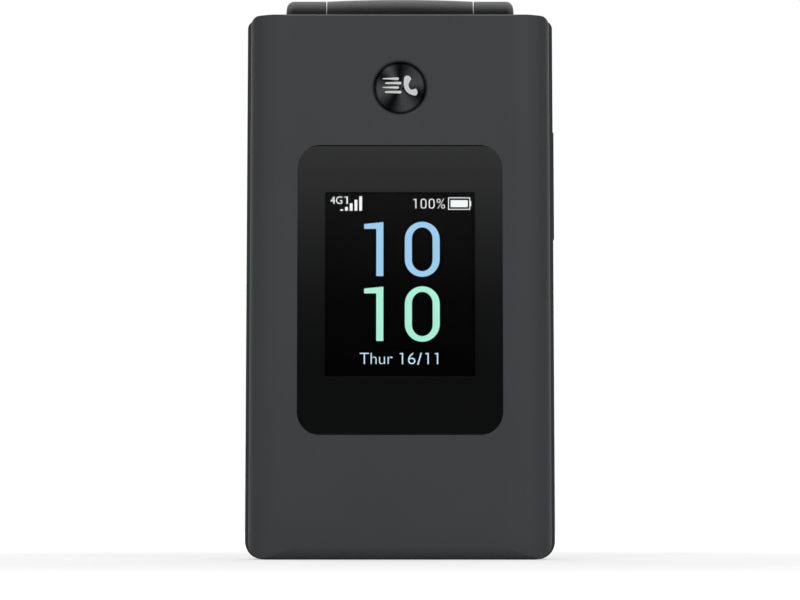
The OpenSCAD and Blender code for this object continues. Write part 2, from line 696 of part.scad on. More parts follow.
// Stadium-shaped bezel round the camera's glass and the flash
module camera_bezel() color("#5c5f62") difference() {
    slab(y_back - wall, y_back + bezel_proud) camera_bezel_outline(0);
    bar_y(camera_d / 2 + 0.05, y_back - wall - 1, y_back + 1, camera_x, back_row_z);
    bar_y(flash_r + 0.05, y_back - wall - 1, y_back + 1, flash_x, back_row_z);
}

module camera_window() color("#0e1012")
    bar_y(camera_d / 2, y_back - 0.8, y_back + bezel_proud - 0.1, camera_x, back_row_z);

module camera_module() color("#1a1c1e") {
    slab(y_back - wall - camera_body[1], y_back - wall - 0.05) translate([camera_x, back_row_z])
        rounded_rect(camera_body[0], camera_body[2], 0.8);
    bar_y(camera_barrel_r, y_back - wall - 0.06, y_back - 0.85, camera_x, back_row_z);
}

module flash_lens() color("#f2eeda")
    bar_y(flash_r, y_back - wall - 0.6, y_back + bezel_proud - 0.1, flash_x, back_row_z);

module usb_socket() color("#b8bbbe") translate([0, y_usb, 0.3]) {
    linear_extrude(usb_depth) difference() {
        rounded_rect(usb_w, usb_h, usb_h / 2 - eps);
        rounded_rect(usb_w - 2 * usb_t, usb_h - 2 * usb_t, usb_h / 2 - usb_t - eps);
    }
    translate([0, 0, usb_depth - 0.8]) linear_extrude(0.8)
        rounded_rect(usb_w - 0.1, usb_h - 0.1, usb_h / 2 - 0.1);
    translate([-3.3, -0.35, 0.8]) cube([6.6, 0.7, usb_depth - 1.2]);
}

module charge_contacts() color("#d9b560") for (side = [0, 1]) mirror([side, 0, 0])
    box(contact_x - contact_w / 2, contact_x + contact_w / 2,
        y_contact - contact_h / 2, y_contact + contact_h / 2, 0.15, wall + 0.6);

module microphone() color("#c8ccd0")
    box(mic_x - mic_size[0] / 2, mic_x + mic_size[0] / 2, y_board - mic_size[1], y_board,
        wall + 0.1, wall + 0.1 + mic_size[2]);

module vibration_motor() color("#a8abae")
    bar_x(motor_r, motor_x, motor_x + motor_l, y_board + board_t + motor_r, board_top - motor_r - 1);

module headphone_socket() color("#1a1c1e") difference() {
    bar_x(jack_r + jack_wall, jack_x, jack_x + jack_depth + 1, y_jack, jack_z);
    bar_x(jack_r, jack_x - 1, jack_x + jack_depth, y_jack, jack_z);
}

module base_screws() color("#9a9da0") for (side = [0, 1]) mirror([side, 0, 0])
    for (z = boss_z) {
        bar_y(screw_head_r, y_floor + floor_t, y_floor + floor_t + screw_head_t, boss_x, z);
        bar_y(screw_r - 0.05, y_face_in + 0.5, y_floor + floor_t + eps, boss_x, z);
    }

// ---------------------------------------------------------------- hinge hardware

// Sprung cam unit that holds the lid shut and open: a keyed sleeve in the left knuckle, then the
// coil spring over its rod, and the cam and its follower inside the lid's knuckle
module hinge_unit() color("#a4a7aa") {
    unit_r = hinge_bore_d / 2 - hinge_clear;
    x0 = -barrel_w / 2 + knuckle_cap + 0.1;
    x_sleeve = -knuckle_w / 2 - knuckle_gap;
    x_end = -knuckle_w / 2 + unit_l / 2;
    keyed_bore(x0, x_sleeve + eps, hinge_clear);
    bar_x(unit_r, x_sleeve, x_end - cam_l - spring_l, y_hinge, hinge_h);
    bar_x(unit_r - 1.2, x_end - cam_l - spring_l - eps, x_end, y_hinge, hinge_h);
    translate([x_end - cam_l - spring_l, y_hinge, hinge_h]) rotate([0, 90, 0]) rotate_extrude()
        for (i = [0 : spring_turns - 1])
            translate([unit_r - 0.8, (i + 0.5) * spring_l / spring_turns]) circle(0.42, $fn = 16);
    bar_x(unit_r, x_end - cam_l, x_end, y_hinge, hinge_h);
}

// Hollow pivot that the flexible circuit passes through, keyed in the right knuckle
module hinge_tube() color("#2a2c2e") difference() {
    union() {
        keyed_bore(knuckle_w / 2 + knuckle_gap - eps, barrel_w / 2 - knuckle_cap - 0.1, hinge_clear);
        bar_x(hinge_bore_d / 2 - hinge_clear, knuckle_w / 2 - unit_l / 2, knuckle_w / 2 + knuckle_gap,
            y_hinge, hinge_h);
    }
    bar_x(tube_bore_r, knuckle_w / 2 - unit_l / 2 - 1, barrel_w / 2, y_hinge, hinge_h);
}

// Flexible circuit, rolled where it crosses the hinge
module hinge_flex() color("#b5722c") difference() {
    bar_x(flex_r, -1, barrel_w / 2 - 1.6, y_hinge, hinge_h);
    bar_x(flex_r - flex_t, -2, barrel_w / 2, y_hinge, hinge_h);
}

// ---------------------------------------------------------------- keys

// Crowned key top over a flange that the face plate holds in
module plain_key(k) {
    intersection() {
        slab(y_pad - key_proud, y_flange + eps) key_outline(k, 0);
        translate([k[0], y_pad - key_proud + crown_r, k[1]]) rotate([0, 90, 0])
            cylinder(r = crown_r, h = k[2] + 2, center = true, $fn = 180);
    }
    slab(y_flange, y_flange + flange_t) key_outline(k, flange_w);
}

// Quarter of the ring, around the direction turn degrees from up
module arrow_sector(turn, r_in, r_out) rotate([0, 0, turn]) difference() {
    intersection() {
        circle(r_out);
        polygon([[0, 0], [-2 * ring_r, 2 * ring_r], [2 * ring_r, 2 * ring_r]]);
    }
    circle(r_in);
    for (s = [-1, 1]) rotate([0, 0, s * 45]) translate([-ring_gap / 2, 0]) square([ring_gap, 2 * ring_r]);
}

module arrow_key(turn) {
    slab(y_pad - key_proud, y_flange + eps) translate([0, ring_h])
        arrow_sector(turn, ok_r + ring_gap, ring_r);
    slab(y_flange, y_flange + flange_t) translate([0, ring_h])
        arrow_sector(turn, ok_r + ring_gap, ring_r + flange_w);
}

module ok_key() color("#5a5d60") bar_y(ok_r, y_pad - key_proud, y_flange + flange_t, 0, ring_h);

module volume_key() color("#333537") {
    box(base_w / 2 - wall - 0.35, base_w / 2 + volume_proud, y_volume - volume_t / 2, y_volume + volume_t / 2,
        volume_h - volume_l / 2, volume_h + volume_l / 2);
    box(base_w / 2 - wall - 0.9, base_w / 2 - wall - 0.3, y_volume - volume_t / 2 - volume_flange,
        y_volume + volume_t / 2 + volume_flange, volume_h - volume_l / 2 - volume_flange,
        volume_h + volume_l / 2 + volume_flange);
}

// ---------------------------------------------------------------- nodes

lid_outer_shell();
lid_inner_frame();
outer_window();
outer_display();
main_window();
main_display();
lid_board();
earpiece();
earpiece_mesh();
lid_bumpers();
lid_screws();
closing_magnet();
button_ring();
button_switch();
call_button();
base_front_housing();
base_rear_housing();
battery_cover();
battery();
main_board();
board_shields();
keypad_mat();
dome_sheet();
card_holders();
loudspeaker();
camera_module();
camera_bezel();
camera_window();
flash_lens();
usb_socket();
charge_contacts();
microphone();
vibration_motor();
headphone_socket();
base_screws();
hinge_unit();
hinge_tube();
hinge_flex();
volume_key();
color("#2f3133") arrow_key(0);  // arrow_up
color("#2f3133") arrow_key(180);  // arrow_down
color("#2f3133") arrow_key(90);  // arrow_left
color("#2f3133") arrow_key(-90);  // arrow_right
ok_key();
color("#2f3133") plain_key(soft_left);  // soft_key_left
color("#2f3133") plain_key(soft_right);  // soft_key_right
color("#2f3133") plain_key(talk);  // talk_key
color("#2f3133") plain_key(end);  // end_key
color("#2f3133") plain_key(number_keys[0]);  // key_1
color("#2f3133") plain_key(number_keys[1]);  // key_2
color("#2f3133") plain_key(number_keys[2]);  // key_3
color("#2f3133") plain_key(number_keys[3]);  // key_4
color("#2f3133") plain_key(number_keys[4]);  // key_5
color("#2f3133") plain_key(number_keys[5]);  // key_6
color("#2f3133") plain_key(number_keys[6]);  // key_7
color("#2f3133") plain_key(number_keys[7]);  // key_8
color("#2f3133") plain_key(number_keys[8]);  // key_9
color("#2f3133") plain_key(number_keys[9]);  // key_star
color("#2f3133") plain_key(number_keys[10]);  // key_0
color("#2f3133") plain_key(number_keys[11]);  // key_hash
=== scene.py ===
# Dresses the fixed frame of a folding telephone: casings, screens, keys, trim and a small studio.
# All lengths in this file are in millimetres unless a name ends in _m.
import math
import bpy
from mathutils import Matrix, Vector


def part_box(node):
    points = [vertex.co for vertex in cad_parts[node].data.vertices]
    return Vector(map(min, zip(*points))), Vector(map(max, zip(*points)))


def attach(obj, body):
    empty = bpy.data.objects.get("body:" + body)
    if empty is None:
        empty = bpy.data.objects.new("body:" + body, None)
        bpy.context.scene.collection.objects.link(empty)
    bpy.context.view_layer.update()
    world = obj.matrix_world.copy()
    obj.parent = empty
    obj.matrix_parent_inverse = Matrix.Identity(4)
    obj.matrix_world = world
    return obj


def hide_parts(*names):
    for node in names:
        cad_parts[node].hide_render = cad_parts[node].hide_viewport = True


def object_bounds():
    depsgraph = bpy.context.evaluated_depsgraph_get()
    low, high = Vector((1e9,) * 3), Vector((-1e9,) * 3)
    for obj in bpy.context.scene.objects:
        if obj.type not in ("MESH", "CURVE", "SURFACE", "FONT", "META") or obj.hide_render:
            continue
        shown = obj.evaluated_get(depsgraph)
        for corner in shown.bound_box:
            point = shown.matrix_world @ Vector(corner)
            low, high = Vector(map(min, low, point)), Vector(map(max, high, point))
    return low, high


bl_info = {
    "name": "Folding telephone",
    "version": (1, 0, 0),
    "blender": (4, 5, 0),
    "location": "View3D > Sidebar > Telephone",
    "description": "Dresses the frame of a folding telephone with finishes, screens, keys and trim",
    "category": "Object",
}

import bmesh
import bpy
from mathutils import Matrix, Vector

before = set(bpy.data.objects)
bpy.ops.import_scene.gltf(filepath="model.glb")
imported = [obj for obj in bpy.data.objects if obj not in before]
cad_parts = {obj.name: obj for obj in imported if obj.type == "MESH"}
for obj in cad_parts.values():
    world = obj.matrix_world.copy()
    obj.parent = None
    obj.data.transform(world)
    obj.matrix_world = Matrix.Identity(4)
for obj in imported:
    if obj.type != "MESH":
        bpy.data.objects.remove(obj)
CAD_BOX = [list(corner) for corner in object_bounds()]
MM = 0.001
QUARTER_TURN = math.pi / 2


# ---------------------------------------------------------------- where things are, read from the frame

def box(node):
    """Lowest and highest corner of a node."""
    low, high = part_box(node)
    return [c / MM for c in low], [c / MM for c in high]


def middle(node):
    low, high = box(node)
    return [(a + b) / 2 for a, b in zip(low, high)]


# ---------------------------------------------------------------- values a user can change

def linear(hex_code):
    """Linear RGBA of an sRGB hex colour."""
    channels = [int(hex_code[i:i + 2], 16) / 255 for i in (0, 2, 4)]
    return [c / 12.92 if c <= 0.04045 else ((c + 0.055) / 1.055) ** 2.4 for c in channels] + [1.0]


def colour(name, description, hex_code):
    return bpy.props.FloatVectorProperty(
        name=name, description=description, subtype="COLOR", size=4, min=0, max=1,
        default=linear(hex_code))


def length(name, description, mm):
    return bpy.props.FloatProperty(
        name=name, description=description, unit="LENGTH", precision=5, min=0, default=mm * MM)


def number(name, description, value):
    return bpy.props.FloatProperty(name=name, description=description, min=0, default=value)


class TELEPHONE_PG_casings(bpy.types.PropertyGroup):
    lid: colour("Lid", "Outer casing of the lid", "434547")
    base: colour("Keypad half", "Casings of the keypad half", "434547")
    inside: colour("Inner faces", "Faces that show when the telephone is open", "404244")
    cover: colour("Battery cover", "Battery cover", "3E4042")
    barrel: colour("Barrel", "Black lacquer on the hinge barrel", "141516")
    barrel_length: length("Barrel length", "Length of the lacquered hinge barrel", 44)
    grain: length("Grain", "Size of the eroded grain in the moulded faces", 0.32)
    edge: length("Edge", "Rounding that the light finds on every moulded edge", 0.08)


class TELEPHONE_PG_screens(bpy.types.PropertyGroup):
    ink: colour("Border", "Ink behind the border of each glass", "0E0F0F")
    hours: colour("Hours", "Lit hours", "9CCDEE")
    minutes: colour("Minutes", "Lit minutes", "A9EFD6")
    status: colour("Status", "Lit signs along the top", "F4F6F7")
    date: colour("Date", "Lit date", "C8E6FA")
    wallpaper: colour("Wallpaper", "Ground of the main picture", "123A5C")
    picture_w: length("Small picture's width", "Width of the picture on the lid", 28.35)
    picture_h: length("Small picture's height", "Height of the picture on the lid", 35.04)
    picture_rise: length("Rise", "How far the small picture stands above the middle of its glass", 0.97)
    main_w: length("Main picture's width", "Width of the picture inside", 43.2)
    main_h: length("Main picture's height", "Height of the picture inside", 57.6)


class TELEPHONE_PG_button(bpy.types.PropertyGroup):
    metal: colour("Cap", "Anodised cap of the call button", "3A3C3E")
    sign: colour("Sign", "Printed sign on the call button", "F4F4F4")
    groove: length("Groove", "Distance between the turned grooves", 0.16)
    chamfer: length("Chamfer", "Width of the cut edge round the cap", 0.32)


class TELEPHONE_PG_keys(bpy.types.PropertyGroup):
    plastic: colour("Keys", "Number and arrow keys", "232527")
    middle_key: colour("Middle key", "Middle key of the arrow ring", "4A4D50")
    legend: colour("Legends", "Printed digits and marks", "E9EBEC")
    call: colour("Call", "Sign on the call key", "3FBF6B")
    end: colour("End", "Sign on the end key", "E0483E")
    edge: length("Key edge", "Rounding of the upper edge of each key", 0.34)
    digit: length("Digit height", "Height of the printed digits", 4.1)


class TELEPHONE_PG_trim(bpy.types.PropertyGroup):
    black: colour("Black trim", "Rings, sockets and earpiece", "101112")
    bezel: colour("Camera bezel", "Polished bezel round the camera", "1D1F21")
    steel: colour("Steel", "Sockets, screws and mesh", "B4B7BA")
    gold: colour("Gold", "Charging contacts", "E0BC74")
    rubber: colour("Rubber", "Bumpers", "141516")
    side_key: colour("Volume key", "Volume key", "303234")
    lens_ink: colour("Lens border", "Ink behind the camera's glass", "0B0C0D")
    lens_rings: colour("Lens rings", "Turned rings in the camera's glass", "55585B")
    flash: colour("Flash", "Clear lens over the flash", "E6DDB8")


class TELEPHONE_PG_inner_parts(bpy.types.PropertyGroup):
    board: colour("Board", "Lacquer on the circuit boards", "1B4D37")
    mat: colour("Keypad mat", "Silicone sheet under the keys", "C9CBCB")
    battery: colour("Battery", "Film round the battery", "25272B")
    flex: colour("Flexible circuit", "Film of the circuit in the hinge", "B5752E")


class TELEPHONE_PG_stage(bpy.types.PropertyGroup):
    distance: length("Camera distance", "From the lid's face to the camera", 450)
    height: length("Camera height", "Above the floor", 6)
    pitch: bpy.props.FloatProperty(
        name="Camera pitch", description="How far the camera looks up", subtype="ANGLE",
        default=math.radians(5.426))
    lens: number("Lens", "Focal length in mm", 107.8)
    floor: colour("Floor", "Pale floor", "F2F2F2")
    fill: number("Fill", "Level of the even light", 0.74)
    key: number("Key", "Power of the overhead lamp in watts", 0.7)
    strips: number("Strips", "Power of each side lamp in watts", 0.3)


GROUPS = {
    "telephone_casings": TELEPHONE_PG_casings,
    "telephone_screens": TELEPHONE_PG_screens,
    "telephone_button": TELEPHONE_PG_button,
    "telephone_keys": TELEPHONE_PG_keys,
    "telephone_trim": TELEPHONE_PG_trim,
    "telephone_inner_parts": TELEPHONE_PG_inner_parts,
    "telephone_stage": TELEPHONE_PG_stage,
}


# ---------------------------------------------------------------- nodes and materials

def add(tree, kind, inputs=None, **settings):
    """Adds a node with its settings. inputs maps a socket to a value, to the output it is fed from, or
    to the node whose first output that is."""
    made = tree.nodes.new("ShaderNode" + kind)
    for name, value in settings.items():
        setattr(made, name, value)
    for socket, value in (inputs or {}).items():
        if isinstance(value, bpy.types.Node):
            value = value.outputs[0]
        if isinstance(value, bpy.types.NodeSocket):
            tree.links.new(value, made.inputs[socket])
        else:
            made.inputs[socket].default_value = value
    return made


def start(name):
    """A new material with nothing in it but object coordinates in metres."""
    material = bpy.data.materials.new(name)
    material.use_nodes = True
    tree = material.node_tree
    tree.nodes.clear()
    return material, tree, add(tree, "TexCoord").outputs["Object"]


def per(mm):
    """Texture scale of a pattern whose features are mm apart."""
    return 1 / (mm * MM)


def varied(tree, pattern, low, high, base=None):
    """Stretches a pattern, most of which lies between 0.3 and 0.7, to low and high. A base colour is
    made darker and lighter by that."""
    share = add(tree, "MapRange", {
        "Value": pattern, "From Min": 0.3, "From Max": 0.7, "To Min": low, "To Max": high})
    if base is None:
        return share
    return add(tree, "HueSaturation", {"Color": base, "Value": share})


def cloudy(name, base, size, detail, tone, roughness, relief=None, edge=0, **shader):
    """A finish broken up by one cloudy pattern with features size mm apart. tone and roughness are the
    least and the most of each, and without a tone the colour is even. relief is how strongly and how
    deep the pattern stands up, and edge the rounding that the light finds. shader sets what else the
    finish has."""
    material, tree, place = start(name)
    cloud = add(tree, "TexNoise", {"Vector": place, "Scale": per(size), "Detail": detail})
    inputs = {"Base Color": varied(tree, cloud, *tone, base) if tone else base,
              "Roughness": varied(tree, cloud, *roughness)}
    if relief:
        strength, depth = relief
        height = {"Height": cloud, "Strength": strength, "Distance": depth * MM}
        if edge:
            height["Normal"] = add(tree, "Bevel", {"Radius": edge * MM}, samples=6)
        inputs["Normal"] = add(tree, "Bump", height)
    inputs |= {socket.replace("_", " "): value for socket, value in shader.items()}
    add(tree, "OutputMaterial", {"Surface": add(tree, "BsdfPrincipled", inputs)})
    return material


def on_barrel(tree, place, axis, radius, half_length):
    """1 on the hinge barrel and 0 elsewhere, from the distance to its axis along X and to its middle."""
    slack = 0.1
    apart = add(tree, "VectorMath", {0: place, 1: (0, axis[0] * MM, axis[1] * MM)}, operation="SUBTRACT")
    flat = add(tree, "VectorMath", {0: apart, 1: (0, 1, 1)}, operation="MULTIPLY")
    away = add(tree, "VectorMath", {0: flat}, operation="LENGTH").outputs["Value"]
    near = add(tree, "Math", {0: away, 1: (radius + slack) * MM}, operation="LESS_THAN")
    along = add(tree, "SeparateXYZ", {"Vector": apart}).outputs["X"]
    aside = add(tree, "Math", {0: along}, operation="ABSOLUTE")
    inside = add(tree, "Math", {0: aside, 1: (half_length + slack) * MM}, operation="LESS_THAN")
    return add(tree, "Math", {0: near, 1: inside}, operation="MULTIPLY")


def moulded_plastic(name, base, grain, edge, roughness=0.46, depth=0.010, uneven=0.05, knuckles=None):
    """Plastic moulded in an eroded steel tool. The eye gets a broad soft sheen, broken up by a fine
    grain drawn a little coarser than life so that it shows, and a faint drift of tone. Edges catch the
    light. Knuckles (axis, radius, half length, colour) are lacquered, so they show what they mirror."""
    material, tree, place = start(name)
    grit = add(tree, "TexNoise", {
        "Vector": place, "Scale": per(grain), "Detail": 3.0, "Roughness": 0.62})
    drift = add(tree, "TexNoise", {"Vector": place, "Scale": per(16), "Detail": 2.0})
    soft_edge = add(tree, "Bevel", {"Radius": edge * MM}, samples=6)
    bump = add(tree, "Bump", {
        "Height": grit, "Normal": soft_edge, "Strength": 0.5, "Distance": depth * MM})
    tone = varied(tree, grit, 1 - uneven, 1 + uneven, varied(tree, drift, 0.97, 1.03, base))
    rough = varied(tree, grit, roughness - 0.05, roughness + 0.05)
    if knuckles:
        axis, radius, half_length, lacquer = knuckles
        share = on_barrel(tree, place, axis, radius, half_length)
        tone = add(tree, "Mix", {0: share, 6: tone, 7: lacquer}, data_type="RGBA").outputs[2]
        rough = add(tree, "Mix", {0: share, 2: rough, 3: 0.3})
    add(tree, "OutputMaterial", {"Surface": add(tree, "BsdfPrincipled", {
        "Base Color": tone, "Roughness": rough, "Normal": bump, "IOR": 1.5})})
    return material


def polished_plastic(name, base, roughness=0.14):
    """Plastic from a polished tool. A clear reflection that wavers where the wall sinks a little."""
    return cloudy(name, base, 5, 2.0, (0.94, 1.06), (roughness - 0.03, roughness + 0.03), (0.2, 0.02),
                  0.1, IOR=1.55)


def printed_glass(name, base):
    """Strengthened glass, printed black behind. Mirror-sharp, with a trace of handling in its gloss."""
    return cloudy(name, base, 9, 4.0, (0.96, 1.04), (0.02, 0.05), IOR=1.5)


def coated_glass(name):
    """Clear glass with an anti-reflection coating. Nearly gone to the eye, so black stays black."""
    return cloudy(name, (1, 1, 1, 1), 9, 4.0, None, (0.0, 0.02), IOR=1.18, Transmission_Weight=1.0)


def crystal_panel(name, pitch=0.22):
    """Unlit liquid-crystal cells. Black, with the faint lattice of the cells."""
    material, tree, place = start(name)
    cells = add(tree, "TexBrick", {
        "Vector": add(tree, "Mapping", {"Vector": place, "Rotation": (QUARTER_TURN, 0, 0)}),
        "Color1": linear("060707"), "Color2": linear("050606"), "Mortar": linear("020202"), "Scale": 1.0,
        "Mortar Size": 0.03 * MM, "Brick Width": pitch * MM, "Row Height": pitch * MM}, offset=0.0)
    add(tree, "OutputMaterial", {"Surface": add(tree, "BsdfPrincipled", {
        "Base Color": cells, "Roughness": 0.3, "Specular IOR Level": 0.0})})
    return material


def lit_cells(name, shown, strength=1.0, fade=None):
    """Lit liquid-crystal cells. They glow in their own colour, a little uneven from the light behind.
    With a fade (first z, last z, first level, last level) the picture goes from dark to light."""
    material, tree, place = start("Lit cells, " + name)
    if fade:
        first, last, low, high = fade
        up = add(tree, "SeparateXYZ", {"Vector": place}).outputs["Z"]
        level = add(tree, "MapRange", {
            "Value": up, "From Min": first * MM, "From Max": last * MM, "To Min": low, "To Max": high})
        wave = add(tree, "TexNoise", {"Vector": place, "Scale": per(30), "Detail": 1.0})
        mixed = add(tree, "Math", {0: level, 1: varied(tree, wave, 0.6, 1.3)}, operation="MULTIPLY")
        glow = add(tree, "HueSaturation", {"Color": shown, "Value": mixed})
    else:
        cloud = add(tree, "TexNoise", {"Vector": place, "Scale": per(7), "Detail": 1.0})
        glow = varied(tree, cloud, 0.97, 1.03, shown)
    add(tree, "OutputMaterial", {"Surface": add(tree, "BsdfPrincipled", {
        "Base Color": linear("060707"), "Roughness": 0.5, "Specular IOR Level": 0.0,
        "Emission Color": glow, "Emission Strength": strength})})
    return material


def turned_aluminium(name, base, groove, centre):
    """Aluminium turned on a lathe and anodised black. Fine rings draw the light out into soft streaks,
    and four soft sectors of painted highlight and painted shade, a slow change of tone round its axis,
    add to them."""
    material, tree, place = start(name)
    from_axis = add(tree, "VectorMath", {0: place, 1: [c * MM for c in centre]}, operation="SUBTRACT")
    # A wave texture repeats every 2 pi / 20 of its unit
    rings = add(tree, "TexWave", {
        "Vector": from_axis, "Scale": math.tau / 20 * per(groove), "Distortion": 0.0},
        wave_type="RINGS", rings_direction="Y").outputs["Fac"]
    fleck = add(tree, "TexNoise", {"Vector": place, "Scale": per(0.25), "Detail": 3.0})
    bump = add(tree, "Bump", {"Height": rings, "Strength": 0.18, "Distance": 0.01 * MM})
    around = add(tree, "Tangent", direction_type="RADIAL", axis="Y")
    apart = add(tree, "SeparateXYZ", {"Vector": from_axis})
    turned = add(tree, "Math", {0: apart.outputs["Z"], 1: apart.outputs["X"]}, operation="ARCTAN2")
    share = add(tree, "Math", {0: turned, 1: 1 / math.tau, 2: 0.5}, operation="MULTIPLY_ADD")
    # Painted highlight and shade: lighter and darker sectors of tone set unevenly round the axis where
    # the lamps' highlights fall: angle from the right, and level
    painted_highlight_wedges = ((-166, 0.95), (-118, 0.0), (-74, 1.0), (-21, 0.0), (22, 0.76), (46, 0.74), (92, 0.0),
              (121, 0.93), (147, 0.0))
    painted_highlight_at_left = 0.75
    # This ramp carries the painted highlight and painted shade round the axis
    painted_highlight_ramp = add(tree, "ValToRGB", {"Fac": share})
    painted_highlight_ramp.color_ramp.interpolation = "EASE"
    stops = painted_highlight_ramp.color_ramp.elements
    for angle, level in painted_highlight_wedges:
        stops.new(angle / 360 + 0.5).color = (level, level, level, 1)
    for end in (stops[0], stops[-1]):
        end.color = (painted_highlight_at_left, painted_highlight_at_left, painted_highlight_at_left, 1)
    # tone is the painted highlight and shade: it scales the anodised colour's value from 0.2 to 2.7
    # times
    tone = add(tree, "MapRange", {"Value": painted_highlight_ramp, "To Min": 0.2, "To Max": 2.7})
    flecked = varied(tree, fleck, 0.9, 1.1, base)
    # The base colour carries the painted highlight and shade
    add(tree, "OutputMaterial", {"Surface": add(tree, "BsdfPrincipled", {
        "Base Color": add(tree, "HueSaturation", {"Color": flecked, "Value": tone}),
        "Metallic": 1.0, "Roughness": varied(tree, fleck, 0.26, 0.34), "Anisotropic": 0.85,
        "Anisotropic Rotation": 0.25, "Tangent": around, "Normal": bump})})
    return material


def printed_ink(name, shown):
    """Ink laid down by a silicone pad. Flat and opaque, with the slight mottle of the pad."""
    return cloudy(name, shown, 0.35, 2.0, (0.96, 1.04), (0.42, 0.55), IOR=1.48)


def rolled_metal(name, base, roughness=0.28):
    """Sheet or wire drawn in one direction and plated. Streaks run along it and break up the shine."""
    material, tree, place = start(name)
    streak_w, stretch = 0.9, 12
    drawn = add(tree, "Mapping", {
        "Vector": place, "Scale": (per(streak_w), per(streak_w), per(streak_w * stretch))})
    streak = add(tree, "TexNoise", {"Vector": drawn, "Scale": 1.0, "Detail": 4.0})
    add(tree, "OutputMaterial", {"Surface": add(tree, "BsdfPrincipled", {
        "Base Color": varied(tree, streak, 0.92, 1.06, base), "Metallic": 1.0,
        "Roughness": varied(tree, streak, roughness - 0.07, roughness + 0.07),
        "Normal": add(tree, "Bevel", {"Radius": 0.06 * MM}, samples=4)})})
    return material


def silicone_rubber(name, base):
    """Moulded silicone. Almost no shine, a dusty bloom and a soft grain."""
    return cloudy(name, base, 0.5, 4.0, (0.88, 1.12), (0.62, 0.78), (0.3, 0.02), IOR=1.42)


def solder_mask(name, base):
    """Lacquer over a circuit board. Copper tracks show through as lighter lines."""
    material, tree, place = start(name)
    tracks = add(tree, "TexBrick", {
        "Vector": add(tree, "Mapping", {"Vector": place, "Rotation": (QUARTER_TURN, 0, 0)}),
        "Color1": base, "Color2": [c * 0.85 for c in base[:3]] + [1],
        "Mortar": [c * 1.5 for c in base[:3]] + [1], "Scale": 1.0,
        "Mortar Size": 0.12 * MM, "Brick Width": 4.3 * MM, "Row Height": 1.1 * MM})
    add(tree, "OutputMaterial", {"Surface": add(tree, "BsdfPrincipled", {
        "Base Color": tracks, "Roughness": 0.3, "IOR": 1.5})})
    return material


def woven_mesh(name, base, pitch=0.3):
    """Fine wire cloth. A lattice of round openings, dark between bright wires."""
    material, tree, place = start(name)
    holes = add(tree, "TexVoronoi", {
        "Vector": place, "Scale": per(pitch), "Randomness": 0.0}, voronoi_dimensions="3D")
    wire = add(tree, "MapRange", {
        "Value": holes, "From Min": 0.28, "From Max": 0.42, "To Min": 0.0, "To Max": 1.0})
    tone = add(tree, "Mix", {0: wire, 6: linear("050506"), 7: base}, data_type="RGBA").outputs[2]
    bump = add(tree, "Bump", {"Height": wire, "Strength": 0.6, "Distance": 0.05 * MM})
    add(tree, "OutputMaterial", {"Surface": add(tree, "BsdfPrincipled", {
        "Base Color": tone, "Metallic": wire, "Roughness": 0.36, "Normal": bump})})
    return material


def coated_lens(name):
    """Optical glass, coated. Deep black with a violet bloom that is stronger at its rim."""
    material, tree, place = start(name)
    rim = add(tree, "LayerWeight", {"Blend": 0.35}).outputs["Facing"]
    bloom = add(tree, "Mix", {
        0: rim, 6: linear("06070A"), 7: linear("2A2550")}, data_type="RGBA").outputs[2]
    dust = add(tree, "TexNoise", {"Vector": place, "Scale": per(1.2), "Detail": 2.0})
    add(tree, "OutputMaterial", {"Surface": add(tree, "BsdfPrincipled", {
        "Base Color": bloom, "Roughness": varied(tree, dust, 0.01, 0.04), "IOR": 1.7})})
    return material


def clear_acrylic(name, base):
    """Clear acrylic moulded with ring ribs over a pale yellow lamp. It glows softly and hides it."""
    return cloudy(name, base, 0.6, 2.0, (0.92, 1.04), (0.08, 0.16), IOR=1.49, Subsurface_Weight=0.2,
                  Subsurface_Scale=0.6 * MM)


# ---------------------------------------------------------------- shapes
# An outline is a list of (x, z) points seen from the front. Pieces are made from outlines and a depth
# along Y, and a piece that looks another way is turned there afterwards. faces is -1 for a shape that
# looks to the front and 1 for one that looks to the back.

def rounded_rectangle(w, h, r, centre, steps=10):
    points = []
    for sx, sz, first in ((1, 1, 0), (-1, 1, 90), (-1, -1, 180), (1, -1, 270)):
        for i in range(steps + 1):
            a = math.radians(first + 90 * i / steps)
            points.append((centre[0] + sx * (w / 2 - r) + r * math.cos(a),
                           centre[1] + sz * (h / 2 - r) + r * math.sin(a)))
    return points


def front_of(node, r, wider=0.0, taller=0.0):
    """Outline of a node's front with rounded corners, symmetrical about the middle of the telephone."""
    low, high = box(node)
    w, h = high[0] - low[0] + wider, high[2] - low[2] + taller
    return rounded_rectangle(w, h, r, (0, middle(node)[2]))


def round_outline(r, centre, steps):
    turns = [math.tau * i / steps for i in range(steps)]
    return [(centre[0] + r * math.cos(a), centre[1] + r * math.sin(a)) for a in turns]


def rectangle(x0, x1, z0, z1):
    return [(x0, z0), (x1, z0), (x1, z1), (x0, z1)]


def placed(points, centre, size=1.0, turned=0.0):
    """Points about the origin scaled, turned anticlockwise and moved to a centre."""
    c, s = size * math.cos(turned), size * math.sin(turned)
    return [(centre[0] + x * c - z * s, centre[1] + x * s + z * c) for x, z in points]


def inset(outline, by):
    """Moves each point of an anticlockwise outline inwards by a distance."""
    moved = []
    for i, (x, z) in enumerate(outline):
        before, after = Vector(outline[i - 1]), Vector(outline[(i + 1) % len(outline)])
        here = Vector((x, z))
        a, b = (here - before).normalized(), (after - here).normalized()
        out = Vector((a.y + b.y, -a.x - b.x))
        if out.length < 1e-6:
            out = Vector((a.y, -a.x))
        out.normalize()
        stretch = 1 / max(0.5, out.dot(Vector((a.y, -a.x))))
        moved.append((x - out.x * by * stretch, z - out.y * by * stretch))
    return moved


def ring_at(outline, y):
    """Points in metres of an outline at one depth, or at a depth given for each point by a function."""
    return [Vector((x, y(x, z) if callable(y) else y, z)) * MM for x, z in outline]


